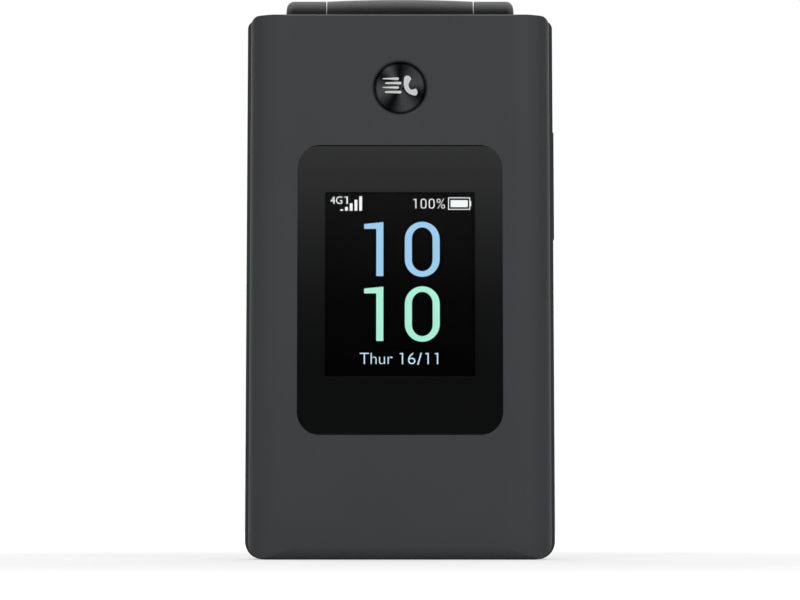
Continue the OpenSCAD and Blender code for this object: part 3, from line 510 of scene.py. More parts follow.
def loft(bm, rings, closed=False):
    """Joins rings of points with faces. A closed loft goes back to its first ring, and one that isn't
    closed gets a face over each end."""
    made = [[bm.verts.new(p) for p in ring] for ring in rings]
    if closed:
        made.append(made[0])
    for a, b in zip(made, made[1:]):
        for i in range(len(a)):
            j = (i + 1) % len(a)
            bm.faces.new((a[i], a[j], b[j], b[i]))
    if not closed:
        bm.faces.new(made[0])
        bm.faces.new(made[-1])


def edge_rings(outline, y_hidden, y_shown, edge, crown=None, steps=4):
    """Rings from the hidden end of a prism over its rounded edge to the shown face."""
    side = 1 if y_hidden > y_shown else -1
    deep = abs(edge)
    rise = crown or (lambda x, z: 0.0)
    rings = [ring_at(outline, y_hidden), ring_at(outline, y_shown + side * (deep + 0.02))]
    for i in range(steps + 1):
        a = QUARTER_TURN * i / steps
        rings.append(ring_at(inset(outline, edge * (1 - math.cos(a))),
                             lambda x, z, a=a: y_shown + side * (deep * (1 - math.sin(a)) + rise(x, z))))
    # One more ring just inside keeps the shading of the face flat up to its edge
    rings.append(ring_at(inset(outline, edge * 1.1), lambda x, z: y_shown + side * rise(x, z)))
    return rings


def plate(bm, outline, y_hidden, y_shown, edge, crown=None):
    """Solid plate with a rounded edge. A crowned face is filled by rings that close on its middle."""
    rings = edge_rings(outline, y_hidden, y_shown, edge, crown)
    if crown:
        side = 1 if y_hidden > y_shown else -1
        face = inset(outline, edge)
        mid = [sum(axis) / len(face) for axis in zip(*face)]
        for share in (0.82, 0.64, 0.46, 0.28, 0.1):
            shrunk = [(mid[0] + (x - mid[0]) * share, mid[1] + (z - mid[1]) * share) for x, z in face]
            rings.append(ring_at(shrunk, lambda x, z: y_shown + side * crown(x, z)))
    loft(bm, rings)


def frame_plate(bm, outer, inner, y_hidden, y_shown, edge):
    """Plate with an opening. Both outlines have the same number of points."""
    outside = edge_rings(outer, y_hidden, y_shown, edge)
    inside = edge_rings(inner, y_hidden, y_shown, -0.04, steps=2)
    loft(bm, outside + inside[::-1], closed=True)


def turn(bm, profile, centre, steps=96, closed=False):
    """Revolves a profile of (radius, y) about the axis along Y through centre (x, z)."""
    loft(bm, [ring_at(round_outline(r, centre, steps), y) for r, y in profile], closed)


def bone(points, half_width, steps=40):
    """Outline of a stroke that follows a curve through three points, with a half width along it."""
    a, b, c = (Vector(p) for p in points)
    left, right = [], []
    for i in range(steps + 1):
        t = (1 - math.cos(math.pi * i / steps)) / 2
        here = a * (1 - t) ** 2 + b * 2 * t * (1 - t) + c * t ** 2
        way = ((b - a) * (1 - t) + (c - b) * t).normalized()
        across = Vector((way.y, -way.x))
        w_left, w_right = half_width(t)
        left.append(here - across * w_left)
        right.append(here + across * w_right)
    return [tuple(p) for p in right + left[::-1]]


def rounded_end(t, share):
    """1 along a stroke, falling to 0 in a half circle over a share of each end."""
    near = min(t, 1 - t) / share
    return 1.0 if near >= 1 else math.sqrt(max(0.0, 1 - (1 - near) ** 2))


def handset(centre, size, turned=0.0):
    """Outline of a telephone handset: a bent handle with a fuller lobe at each end."""
    def half_width(t):
        lobe = max(0.0, 1 - min(t, 1 - t) / 0.34)
        lobe = lobe * lobe * (3 - 2 * lobe)
        full = rounded_end(t, 0.1)
        return (0.36 + 0.46 * lobe) * full, (0.50 + 0.12 * lobe) * full
    shape = bone([(-0.50, 2.03), (-1.54, -1.33), (1.30, -1.21)], half_width)
    return placed(shape, centre, size, turned)


def divide(mesh, longest):
    """Halves the edges of a mesh until none across its face is longer than a length."""
    bm = bmesh.new()
    bm.from_mesh(mesh)
    for _ in range(4):
        bmesh.ops.triangulate(bm, faces=bm.faces)
        far = [e for e in bm.edges if math.dist(e.verts[0].co[:2], e.verts[1].co[:2]) > longest]
        bmesh.ops.subdivide_edges(bm, edges=far, cuts=1)
    bm.to_mesh(mesh)
    bm.free()


def lettering(bm, text, height, centre, y, width, faces=-1, thick=0.02, crown=None, slim=0.0):
    """Adds a word of the plain built-in letters, scaled to a height and, unless it is None, a width.
    slim takes a share of the letter size off each side of the strokes."""
    curve = bpy.data.curves.new("lettering", "FONT")
    curve.body = text
    curve.extrude = 0.5
    curve.offset = -slim
    holder = bpy.data.objects.new("lettering", curve)
    bpy.context.scene.collection.objects.link(holder)
    mesh = bpy.data.meshes.new_from_object(holder.evaluated_get(bpy.context.evaluated_depsgraph_get()))
    if crown:
        divide(mesh, 0.08)
    low = [min(v.co[i] for v in mesh.vertices) for i in (0, 1)]
    high = [max(v.co[i] for v in mesh.vertices) for i in (0, 1)]
    up = height / (high[1] - low[1])
    along = width / (high[0] - low[0]) if width else up
    for v in mesh.vertices:
        x = centre[0] + (v.co.x - (low[0] + high[0]) / 2) * along
        z = centre[1] - faces * (v.co.y - (low[1] + high[1]) / 2) * up
        depth = y + faces * thick * (0.5 + v.co.z) - faces * (crown(x, z) if crown else 0.0)
        v.co = Vector((x, depth, z)) * MM
    bm.from_mesh(mesh)
    bpy.data.objects.remove(holder)
    bpy.data.curves.remove(curve)
    bpy.data.meshes.remove(mesh)


def mark(bm, outline, y, faces=-1, thick=0.02, crown=None):
    """Adds a thin printed or lit shape on a face."""
    at = (lambda x, z: y - faces * crown(x, z)) if crown else (lambda x, z: y)
    loft(bm, [ring_at(outline, at), ring_at(outline, lambda x, z: at(x, z) + faces * thick)])


def hollow_mark(bm, outer, inner, y, faces=-1, thick=0.02):
    raised = y + faces * thick
    loft(bm, [ring_at(outer, y), ring_at(outer, raised), ring_at(inner, raised), ring_at(inner, y)],
         closed=True)


def figure_one(bm, x0, x1, head, foot, stem, y, faces=-1):
    """Adds a slim figure one: an upright with a flag whose upper edge rises to it."""
    lift, flag = 0.036 * (head - foot), 0.125 * (head - foot)
    mark(bm, [(x1, foot), (x1, head), (x0, head - lift), (x0, head - flag), (x1 - stem, head - flag),
              (x1 - stem, foot)], y, faces)


def figure_nought(bm, x, z, w, h, side, end, y, faces=-1, steps=24):
    """Adds a slim nought: straight sides closed by two arcs. side and end are its stroke's widths."""
    outer, inner = [], []
    for shape, half_w, half_h, arc in ((outer, w / 2, h / 2, w / 2 * 1.02),
                                       (inner, w / 2 - side, h / 2 - end, (w / 2 - side) * 1.12)):
        for way in (1, -1):
            for i in range(steps + 1):
                a = math.pi * i / steps
                shape.append((x + way * half_w * math.cos(a),
                              z + way * (half_h - arc + arc * math.sin(a))))
    hollow_mark(bm, outer, inner, y, faces)


def day_and_date(bm, x, z, height, y, faces=-1):
    """Adds a weekday and a date in slim letters, centred on (x, z). Places are shares of the height."""
    up = -faces * height / 2
    for text, at, width in (("Thur", -2.01, 2.9), ("6", 1.12, 0.65)):
        lettering(bm, text, height, (x + at * height, z), y, width * height, faces, slim=0.012)
    for right in (0.365, 2.62, 3.455):
        figure_one(bm, x + (right - 0.3) * height, x + right * height, z + up, z - up, 0.115 * height, y,
                   faces)
    slant = ((1.6, -1.1), (1.72, -1.1), (2.02, 1), (1.9, 1))
    mark(bm, [(x + at * height, z + end * up) for at, end in slant], y, faces)


def signal_bars(bm, heights, x, pitch, width, foot, y, faces=-1):
    """Adds bars that grow from left to right. A picture that faces back stands on its head."""
    for i, tall in enumerate(heights):
        left = x + i * pitch
        mark(bm, rectangle(left, left + width, foot, foot - faces * tall), y, faces)


def make(name, bm, material, body, stands_for=(), sharp=34):
    """Turns a bmesh into a piece that rides on a body."""
    if not bm.faces:
        raise RuntimeError(f"{name} has no faces")
    bmesh.ops.remove_doubles(bm, verts=bm.verts, dist=1e-7)
    bmesh.ops.recalc_face_normals(bm, faces=bm.faces)
    mesh = bpy.data.meshes.new(name)
    bm.to_mesh(mesh)
    bm.free()
    mesh.shade_smooth()
    mesh.set_sharp_from_angle(angle=math.radians(sharp))
    mesh.materials.append(material)
    piece = bpy.data.objects.new(name, mesh)
    bpy.context.scene.collection.objects.link(piece)
    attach(piece, body)
    if stands_for:
        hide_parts(*stands_for)


def finish_nodes(material, *nodes):
    """Gives nodes of the frame a material."""
    for name in nodes:
        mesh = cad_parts[name].data
        mesh.materials.clear()
        mesh.materials.append(material)


# ---------------------------------------------------------------- pieces

class TELEPHONE_OT_casings(bpy.types.Operator):
    """Give the moulded casings their satin grain, and add the rim and the seam's tongue"""
    bl_idname = "telephone.casings"
    bl_label = "Casings"

    def execute(self, context):
        looks = context.scene.telephone_casings
        grain, edge = looks.grain / MM, looks.edge / MM
        for half, base, node in (("lid", looks.lid, "lid_outer_shell"),
                                 ("keypad half", looks.base, "base_rear_housing")):
            finish_nodes(moulded_plastic("ABS moulded satin, " + half, base, grain, edge), node)
        axis = middle("hinge_tube")[1:]
        barrel_r = box("lid_inner_frame")[1][2] - axis[1]
        knuckles = (axis, barrel_r, looks.barrel_length / MM / 2, looks.barrel)
        inside = moulded_plastic("ABS moulded satin, knuckles lacquered", looks.inside, grain * 0.8,
                                 edge, 0.5, knuckles=knuckles)
        finish_nodes(inside, "lid_inner_frame", "base_front_housing")
        # The cover is sprayed with a soft lacquer over a coarser grain, so it shines less
        soft = moulded_plastic("ABS with soft-touch lacquer, cover", looks.cover, grain * 1.5, edge, 0.6,
                               0.016, 0.08)
        finish_nodes(soft, "battery_cover")

        # A raised rim along the sides and foot of the keypad face all but closes the gap to the lid
        half_w = box("base_front_housing")[1][0]
        seat_y = box("lid_bumpers")[1][1] + 0.1
        rim_h, sunk, from_side, from_foot, below_axis = 0.36, 0.1, 0.6, 0.6, 1
        bm = bmesh.new()
        plate(bm, self.rim_outline(half_w - from_side, 0.9, from_foot, axis[1] - below_axis, 2.8),
              seat_y + sunk, seat_y - rim_h, 0.12)
        make("keypad_face_rim", bm, inside, "base")

        # The tongue inside the seam of the keypad half, where the strap holes let light in
        seam_y = middle("volume_key")[1] - 0.07
        near, far, first_z, last_z = half_w - 1.2, half_w - 0.4, 4, 26
        bm = bmesh.new()
        for x0, x1 in ((near, far), (-far, -near)):
            mark(bm, rectangle(x0, x1, first_z, last_z), seam_y, 1, 0.06)
        make("base_seam_tongue", bm, inside, "base")
        return {"FINISHED"}

    def rim_outline(self, half_w, thick, foot, top, r, steps=8):
        """Outline of a U that is open at the top: the lower halves of two rounded rectangles."""
        outer, inner = (
            rounded_rectangle(2 * (half_w - by), 2 * (top - foot - by), r - by, (0, top), steps)
            [-2 * (steps + 1):] for by in (0, thick))
        ends = [(half_w, top), (half_w - thick, top)]
        return [(-half_w, top)] + outer + ends + inner[::-1] + [(thick - half_w, top)]


def glaze(names, nodes, outline, opening, ink, edge, faces):
    """Builds a printed glass with its clear pane, and the panel behind it. names are those of the glass
    and the panel, and nodes the two that they stand for. Returns the depth of the lit cells, which lie
    a hair before the panel."""
    shown, hidden = (0, 1) if faces < 0 else (1, 0)
    (glass, panel), (window, display) = names, nodes
    glass_y = [corner[1] for corner in box(window)]
    panel_y = [corner[1] for corner in box(display)]
    bm = bmesh.new()
    frame_plate(bm, outline, opening, glass_y[hidden], glass_y[shown], edge)
    make(glass + "_glass_border", bm, printed_glass("Glass printed black, " + glass, ink),
         "lid", [window], 50)
    bm = bmesh.new()
    plate(bm, inset(opening, 0.02), glass_y[hidden], glass_y[shown] - faces * 0.015, 0.03)
    make(glass + "_glass_pane", bm, coated_glass("Glass with clear coating, " + glass), "lid")
    bm = bmesh.new()
    plate(bm, front_of(display, 0.6), panel_y[hidden], panel_y[shown], 0.1)
    make(panel + "_panel", bm, crystal_panel("Liquid-crystal panel, " + panel), "lid",
         [display])
    return panel_y[shown] + faces * 0.005


class TELEPHONE_OT_outer_screen(bpy.types.Operator):
    """Build the outer glass, the small panel and its lit picture"""
    bl_idname = "telephone.outer_screen"
    bl_label = "Outer screen"

    def execute(self, context):
        looks = context.scene.telephone_screens
        w, h = looks.picture_w / MM, looks.picture_h / MM
        picture_z = middle("outer_window")[2] + looks.picture_rise / MM
        # The real glass nearly fills its seat, so it is a hair wider than the solid that stands for it
        y = glaze(("outer", "outer"), ("outer_window", "outer_display"),
                  front_of("outer_window", 3.8, 0.24, -0.04),
                  rounded_rectangle(w, h, 0.35, (0, picture_z)), looks.ink, 0.1, -1)

        # Places on the picture are x from its middle and depth below its top. First the clock
        top = picture_z + h / 2
        hours, minutes, status, date = (bmesh.new() for _ in range(4))
        for bm, head, foot in ((hours, 5.64, 15.92), (minutes, 17.93, 28.24)):
            figure_one(bm, -6.79, -3.15, top - head, top - foot, 1.34, y)
            mid_z = top - (head + foot) / 2 - 0.04
            figure_nought(bm, 4.21, mid_z, 6.6, foot - head + 0.2, 1.34, 1.06, y)
        # On the left the network with its bars, on the right the charge, first in figures
        signal_bars(status, (0.27, 0.72, 1.41, 2.08, 2.75), -11.33, 0.898, 0.54, top - 3.46, y)
        lettering(status, "4G", 1.45, (-12.06, top - 1.44), y, 2.25)
        for x0, x1, head, foot, stem in ((-10.58, -9.9, 0.74, 2.16, 0.27),
                                         (2.5, 3.12, 1.19, 3.02, 0.21)):
            figure_one(status, x0, x1, top - head, top - foot, stem, y)
        for x in (4.47, 6.01):
            figure_nought(status, x, top - 2.105, 1.12, 1.9, 0.2, 0.17, y)
        lettering(status, "%", 1.88, (7.75, top - 2.105), y, 1.6, slim=0.012)
        hollow_mark(status, rectangle(9.14, 13.31, top - 3.27, top - 0.92),
                    rectangle(9.29, 13.16, top - 3.12, top - 1.07), y)
        for x0, x1, foot, head in ((9.61, 12.86, 2.78, 1.44), (13.31, 13.5, 2.58, 1.61)):
            mark(status, rectangle(x0, x1, top - foot, top - head), y)
        day_and_date(date, -0.186, top - 31.55, 2.14, y)
        for name, bm, shown in (("hours", hours, looks.hours), ("minutes", minutes, looks.minutes),
                                ("status", status, looks.status), ("date", date, looks.date)):
            make("outer_picture_" + name, bm, lit_cells(name, shown), "lid")
        return {"FINISHED"}


class TELEPHONE_OT_main_screen(bpy.types.Operator):
    """Build the inner glass and the main screen, which show when the lid is open"""
    bl_idname = "telephone.main_screen"
    bl_label = "Main screen"

    def execute(self, context):
        looks = context.scene.telephone_screens
        w, h = looks.main_w / MM, looks.main_h / MM
        mid_z = middle("main_window")[2]
        ground_y = glaze(("inner", "main"), ("main_window", "main_display"), front_of("main_window", 3),
                         rounded_rectangle(w, h, 0.4, (0, mid_z)), looks.ink, 0.15, 1)
        margin = 0.4
        bm = bmesh.new()
        mark(bm, rounded_rectangle(w - margin, h - margin, 0.3, (0, mid_z)), ground_y, 1)
        make("main_picture_ground", bm,
             lit_cells("wallpaper", looks.wallpaper, 1.0, (mid_z - 30, mid_z + 30, 0.12, 0.9)),
             "lid")

        # The picture stands on its head while the telephone is shut, as the real one does. Places on it
        # are x from its middle and z above its head
        y = ground_y + 0.02
        head = mid_z - (h - margin) / 2
        foot = mid_z + (h - margin) / 2
        signs, clock = bmesh.new(), bmesh.new()
        signal_bars(signs, (0.8, 1.3, 1.9, 2.5), -19.4, 1.1, 0.8, head + 3.6, y, 1)
        hollow_mark(signs, rectangle(14.6, 18.8, head + 1.3, head + 3.5),
                    rectangle(14.85, 18.55, head + 1.55, head + 3.25), y, 1)
        for x0, x1, z0, z1 in ((15.1, 18.3, 1.8, 3.0), (18.8, 19.2, 1.9, 2.9)):
            mark(signs, rectangle(x0, x1, head + z0, head + z1), y, 1)
        for x in (-11.5, 2.3):
            figure_one(clock, x, x + 2.9, head + 10.9, head + 19.1, 1.05, y, 1)
            figure_nought(clock, x + 6.6, head + 15, 5.3, 8.4, 1.05, 0.85, y, 1)
        for z in (13.2, 17.2):
            mark(clock, round_outline(0.62, (0, head + z), 32), y, 1)
        day_and_date(signs, 0, head + 23, 2.6, y, 1)
        # Three signs along the foot: a list, and twice three dots
        for shift in (-1.15, 0, 1.15):
            mark(signs, rectangle(-16, -12, foot - 3.7 + shift, foot - 3.3 + shift), y, 1)
            for x in (0, 14):
                mark(signs, round_outline(0.42, (x + shift * 1.3, foot - 3.5), 20), y, 1)
        make("main_picture_signs", signs, lit_cells("signs", looks.status, 0.9), "lid")
        make("main_picture_clock", clock, lit_cells("clock", looks.hours, 0.95), "lid")

        # The wire cloth over the receiver's slot
        low, high = box("earpiece_mesh")
        bm = bmesh.new()
        plate(bm, front_of("earpiece_mesh", 0.74), low[1], high[1], 0.12)
        steel = context.scene.telephone_trim.steel
        make("receiver_mesh", bm, woven_mesh("Steel wire cloth, receiver", steel), "lid",
             ["earpiece_mesh"])
        return {"FINISHED"}


class TELEPHONE_OT_call_button(bpy.types.Operator):
    """Build the turned call button, its trim ring and its printed sign"""
    bl_idname = "telephone.call_button"
    bl_label = "Call button"

    def execute(self, context):
        looks = context.scene.telephone_button
        low, high = box("call_button")
        mid = middle("call_button")
        centre = (mid[0], mid[2])
        ring_low, ring_high = box("button_ring")
        ring_r = (ring_high[0] - ring_low[0]) / 2
        cap_r = ring_r - 0.28
        face_r = cap_r - looks.chamfer / MM
        flange_r = (high[0] - low[0]) / 2
        dome_r, flange_t = 100, 0.5

        def fall(r):
            """How far the domed face has fallen away at a distance from its middle."""
            return r * r / (2 * dome_r)

        bm = bmesh.new()
        profile = [(flange_r, high[1]), (flange_r, high[1] - flange_t), (cap_r, high[1] - flange_t),
                   (cap_r, low[1] + fall(cap_r) + 0.24), (cap_r - 0.04, low[1] + fall(cap_r) + 0.19),
                   (face_r + 0.03, low[1] + fall(face_r) + 0.03)]
        profile += [(face_r * s, low[1] + fall(face_r * s))
                    for s in (1, 0.9, 0.75, 0.6, 0.45, 0.3, 0.15, 0.02)]
        turn(bm, profile, centre)
        make("call_button_cap", bm, turned_aluminium(
            "Aluminium turned and anodised", looks.metal, looks.groove / MM, (mid[0], 0, mid[2])),
            "call_button", ["call_button"], 20)

        bm = bmesh.new()
        inner_r = ring_r - 0.22
        turn(bm, [(ring_r, ring_high[1]), (ring_r, ring_low[1] + 0.1), (ring_r - 0.1, ring_low[1]),
                  (inner_r + 0.05, ring_low[1] + 0.05), (inner_r, ring_low[1] + 0.15),
                  (inner_r, ring_high[1])], centre, closed=True)
        black = context.scene.telephone_trim.black
        make("call_button_ring", bm, polished_plastic("Polycarbonate polished black, ring", black),
             "lid", ["button_ring"], 40)

        def crown(x, z):
            return -fall(math.hypot(x - centre[0], z - centre[1]))

        # The sign: a handset, and four strokes that grow towards it
        bm = bmesh.new()
        ink_y, ink_t, thick_end = low[1] - 0.004, 0.012, 0.27
        for x0, z, thin_end in ((-3.34, 1.66, 0.09), (-2.86, 0.81, 0.165), (-3.34, -0.03, 0.09),
                                (-2.86, -0.92, 0.165)):
            half_width = lambda t, thin=thin_end: (
                (thin + (thick_end - thin) * t) * rounded_end(t, 0.08),) * 2
            half_l = 1.57
            stroke = bone([(x0, z), (x0 + half_l, z + 0.01), (x0 + 2 * half_l, z)], half_width, 24)
            mark(bm, placed(stroke, centre), ink_y, -1, ink_t, crown)
        mark(bm, handset((centre[0] + 2.02, centre[1] + 0.21), 1.0), ink_y, -1, ink_t, crown)
        make("call_button_sign", bm, printed_ink("Ink pad-printed, silver", looks.sign), "call_button")
        return {"FINISHED"}


class TELEPHONE_OT_keypad(bpy.types.Operator):
    """Build the number keys, the function keys and the ring of arrow keys with their printed marks"""
    bl_idname = "telephone.keypad"
    bl_label = "Keypad"

    # Width of the flange that holds a key in, radius of the middle key and gap round it
    flange, ok_r, gap = 0.5, 5.2, 0.35
    # How deep the ink lies in a key, and its thickness
    sunk, ink_t = 0.01, 0.012

    def execute(self, context):
        looks = context.scene.telephone_keys
        edge = looks.edge / MM
        plastic, middle_plastic = (
            moulded_plastic(f"Polycarbonate {which} moulded satin", base, 0.2, 0.05, roughness,
                            0.004, 0.03)
            for which, base, roughness in (("keys", looks.plastic, 0.32),
                                           ("middle key", looks.middle_key, 0.3)))
        inks = {name: printed_ink("Ink pad-printed, " + name, shown) for name, shown in (
            ("white", looks.legend), ("green", looks.call), ("red", looks.end))}
        x, _, z = middle("ok_key")
        ring_r = box("arrow_up")[1][2] - z - self.flange
        self.plain_keys(plastic, inks, edge, looks.digit / MM, (x, z), ring_r)
        self.arrow_keys(plastic, inks["white"], edge * 0.8, (x, z), ring_r)
        self.middle_key(middle_plastic, (x, z))
        return {"FINISHED"}

    def plain_keys(self, plastic, inks, edge, digit, centre, ring_r):
        """Keys that are round from top to bottom. Four of them stand beside the arrow ring."""
        crown_r = 40
        signs = {f"key_{n}": str(n) for n in range(1, 10)}
        signs |= {"key_star": "*", "key_0": "0", "key_hash": "#"}
        for name in [*signs, "soft_key_left", "soft_key_right", "talk_key", "end_key"]:
            low, high = box(name)
            mid = middle(name)
            crown = lambda x, z, c=mid[2]: (z - c) ** 2 / (2 * crown_r)
            bm = bmesh.new()
            plate(bm, self.key_outline(name, centre, ring_r), high[1], low[1], edge, crown)
            make(name + "_top", bm, plastic, name, [name], 45)
            bm = bmesh.new()
            ink_y, ink = low[1] - self.sunk, "white"
            if name in signs:
                tall = digit * {"*": 0.62, "#": 0.95}.get(signs[name], 1)
                lettering(bm, signs[name], tall, (mid[0], mid[2]), ink_y, None, -1, self.ink_t, crown)
            elif name.startswith("soft"):
                bar = rounded_rectangle(3.6, 0.62, 0.3, (mid[0] * 1.04, mid[2]))
                mark(bm, bar, ink_y, -1, self.ink_t, crown)
            else:
                ink, degrees = ("green", -8) if name == "talk_key" else ("red", 118)
                phone = handset((mid[0] * 1.03, mid[2]), 1.05, math.radians(degrees))
                mark(bm, phone, ink_y, -1, self.ink_t, crown)
            make(name + "_sign", bm, inks[ink], name)

    def key_outline(self, name, centre, ring_r):
        """Outline of a key top. A key beside the arrow ring gives way to it in an arc."""
        low, high = box(name)
        mid = middle(name)
        corner = 2.2
        if name.startswith("key_"):
            w, h = high[0] - low[0] - 2 * self.flange, high[2] - low[2] - 2 * self.flange
            return rounded_rectangle(w, h, corner, (mid[0], mid[2]))
        w = 10.6
        h, rise = (9.6, 6.6) if name.startswith("soft") else (12.0, -6.2)
        middle_x = low[0] + self.flange + w / 2 if mid[0] < 0 else high[0] - self.flange - w / 2
        corners = rounded_rectangle(w, h, corner, (middle_x, centre[1] + rise))
        keep_out, spacing = ring_r + 1.9, 0.5
        outline = []
        for p, q in zip(corners, corners[1:] + corners[:1]):
            n = max(1, int(math.dist(p, q) / spacing))
            for k in range(n):
                away = Vector(p).lerp(Vector(q), k / n) - Vector(centre)
                if away.length < keep_out:
                    away = away.normalized() * keep_out
                outline.append((centre[0] + away.x, centre[1] + away.y))
        return outline

    def arrow_keys(self, plastic, ink, edge, centre, ring_r):
        """A ring in four quarters, dished along its middle."""
        low_r, low_w = 8.3, 2.7
        bowl = lambda x, z: 0.06 * ((math.dist((x, z), centre) - low_r) / low_w) ** 2
        for i, name in enumerate(("arrow_up", "arrow_left", "arrow_down", "arrow_right")):
            low, high = box(name)
            bm = bmesh.new()
            outline = placed(self.sector(ring_r), centre, 1, i * QUARTER_TURN)
            plate(bm, outline, high[1], low[1], edge, bowl)
            make(name + "_top", bm, plastic, name, [name], 45)
            bm = bmesh.new()
            tip = placed([(0, 9), (-1, 7.7), (1, 7.7)], centre, 1, i * QUARTER_TURN)
            mark(bm, tip, low[1] - self.sunk, -1, self.ink_t, bowl)
            make(name + "_sign", bm, ink, name)

    def sector(self, ring_r, steps=24):
        """Outline of the upper quarter of the arrow ring, with ends parallel to its neighbours'."""
        shape = []
        for r, way in ((ring_r, 1), (self.ok_r + self.gap, -1)):
            half = math.pi / 4 - math.asin(self.gap / 2 / r)
            for i in range(steps + 1):
                a = QUARTER_TURN + way * (-half + 2 * half * i / steps)
                shape.append((r * math.cos(a), r * math.sin(a)))
        return shape

    def middle_key(self, plastic, centre):
        """A round key, dished inside its rim."""
        low, high = box("ok_key")
        r, dish, dish_share = self.ok_r, 0.28, 0.9
        profile = [(r, high[1]), (r, low[1] + 0.3), (r - 0.1, low[1] + 0.1), (r - 0.35, low[1])]
        profile += [(r * s, low[1] + dish * (1 - (s / dish_share) ** 2))
                    for s in (0.88, 0.75, 0.6, 0.45, 0.3, 0.15, 0.01)]
        bm = bmesh.new()
        turn(bm, profile, centre)
        make("ok_key_top", bm, plastic, "ok_key", ["ok_key"], 30)


class TELEPHONE_OT_side_trim(bpy.types.Operator):
    """Build the volume key and finish the sockets, contacts and bumpers"""
    bl_idname = "telephone.side_trim"
    bl_label = "Sides and ends"

    def execute(self, context):
        looks = context.scene.telephone_trim
        low, high = box("volume_key")
        mid = middle("volume_key")
        lip = 0.6
        w, h = high[1] - low[1] - 2 * lip, high[2] - low[2] - 2 * lip
        y_mid, outer = mid[1], high[0] + 0.25
        # Made facing the front and then turned a quarter, so that its face looks to +X. It dips across,
        # and most at its middle
        crown = lambda x, z: (0.02 * ((x - y_mid) / 1.3) ** 2
                              + 0.10 * math.exp(-((z - mid[2]) / 1.4) ** 2))
        bm = bmesh.new()
        plate(bm, rounded_rectangle(w, h, 0.5, (y_mid, mid[2]), 6), -low[0] - lip, -outer, 0.22, crown)
        # A plus towards its upper end and a minus towards its lower end
        away, long, thin, raised = 7.6, 1.3, 0.28, 0.03
        for up, wide, tall in ((away, long, thin), (away, thin, long), (-away, long, thin)):
            bar = rounded_rectangle(wide, tall, 0.13, (y_mid, mid[2] + up), 4)
            mark(bm, bar, -outer + raised, -1, raised)
        bm.transform(Matrix.Rotation(QUARTER_TURN, 4, "Z"))
        make("volume_key_cap", bm, moulded_plastic("ABS moulded satin, volume key", looks.side_key, 0.25,
                                                   0.05, 0.4, 0.006), "volume_key",
             ["volume_key"], 40)

        black = polished_plastic("Polycarbonate moulded black", looks.black, 0.3)
        finish_nodes(black, "headphone_socket", "earpiece", "loudspeaker", "hinge_tube", "camera_module")
        steel = rolled_metal("Steel rolled and nickel plated", looks.steel)
        finish_nodes(steel, "usb_socket", "microphone", "vibration_motor", "board_shields",
                     "card_holders", "closing_magnet", "button_switch", "lid_screws", "base_screws",
                     "hinge_unit")
        gold = rolled_metal("Copper alloy gold plated", looks.gold, 0.2)
        finish_nodes(gold, "charge_contacts", "dome_sheet")
        finish_nodes(silicone_rubber("Silicone rubber moulded black", looks.rubber), "lid_bumpers")
        return {"FINISHED"}


class TELEPHONE_OT_back_trim(bpy.types.Operator):
    """Build the camera's lens and the flash, and finish their bezel"""
    bl_idname = "telephone.back_trim"
    bl_label = "Camera and flash"

    def execute(self, context):
        looks = context.scene.telephone_trim
        finish_nodes(polished_plastic("Polycarbonate polished black, bezel", looks.bezel),
                     "camera_bezel")
        r, seat, top, centre = self.disc("camera_window")
        bm = bmesh.new()
        turn(bm, [(r, seat), (r, top - 0.12), (r - 0.12, top), (r - 1.05, top), (r - 1.15, top - 0.08),
                  (r - 1.2, seat + 0.25), (0.02, seat + 0.2)], centre)
        make("camera_surround", bm, printed_glass("Glass printed black, camera", looks.lens_ink),
             "base", ["camera_window"], 30)

        rim, bulge = r - 1.22, 0.42
        bm = bmesh.new()
        turn(bm, [(rim * math.cos(a), seat + 0.3 + bulge * math.sin(a))
                  for a in map(math.radians, (0, 12, 24, 36, 48, 60, 72, 82, 89.5))], centre)
        make("camera_lens", bm, coated_lens("Optical glass, coated"), "base")

        bm = bmesh.new()
        for outer, inner, y in ((rim + 0.02, rim - 0.16, top - 0.22),
                                (rim * 0.62, rim * 0.55, top - 0.2)):
            turn(bm, [(outer, y - 0.1), (outer, y), (inner, y - 0.03), (inner, y - 0.1)], centre, 64,
                 closed=True)
        make("camera_rings", bm, rolled_metal("Aluminium turned, lens rings", looks.lens_rings, 0.3),
             "base")

        r, seat, top, centre = self.disc("flash_lens")
        ribs = [(r, seat), (r, top - 0.08), (r - 0.08, top)]
        for i in range(5):
            rib_r = (r - 0.16) * (1 - i / 5)
            ribs += [(rib_r, top - 0.02), (rib_r - 0.02, top - 0.14)]
        bm = bmesh.new()
        turn(bm, ribs + [(0.02, top - 0.1)], centre)
        make("flash_lens_ribbed", bm, clear_acrylic("Acrylic moulded, clear", looks.flash), "base",
             ["flash_lens"], 25)
        return {"FINISHED"}

    def disc(self, node):
        """Radius, lower and upper y and centre (x, z) of a round node."""
        low, high = box(node)
        mid = middle(node)
        return (high[0] - low[0]) / 2, low[1], high[1], (mid[0], mid[2])


class TELEPHONE_OT_inner_parts(bpy.types.Operator):
    """Finish the boards, the battery and what else lies inside"""
    bl_idname = "telephone.inner_parts"
    bl_label = "Inner parts"

    def execute(self, context):
        looks = context.scene.telephone_inner_parts
        board = solder_mask("Circuit board, green lacquer", looks.board)
        finish_nodes(board, "main_board", "lid_board")
        finish_nodes(silicone_rubber("Silicone rubber moulded clear", looks.mat), "keypad_mat")
        finish_nodes(polished_plastic("Printed film round the battery", looks.battery, 0.35), "battery")
        finish_nodes(polished_plastic("Polyimide film", looks.flex, 0.3), "hinge_flex")
        return {"FINISHED"}


# ---------------------------------------------------------------- stage
# Lengths on the stage are in metres.

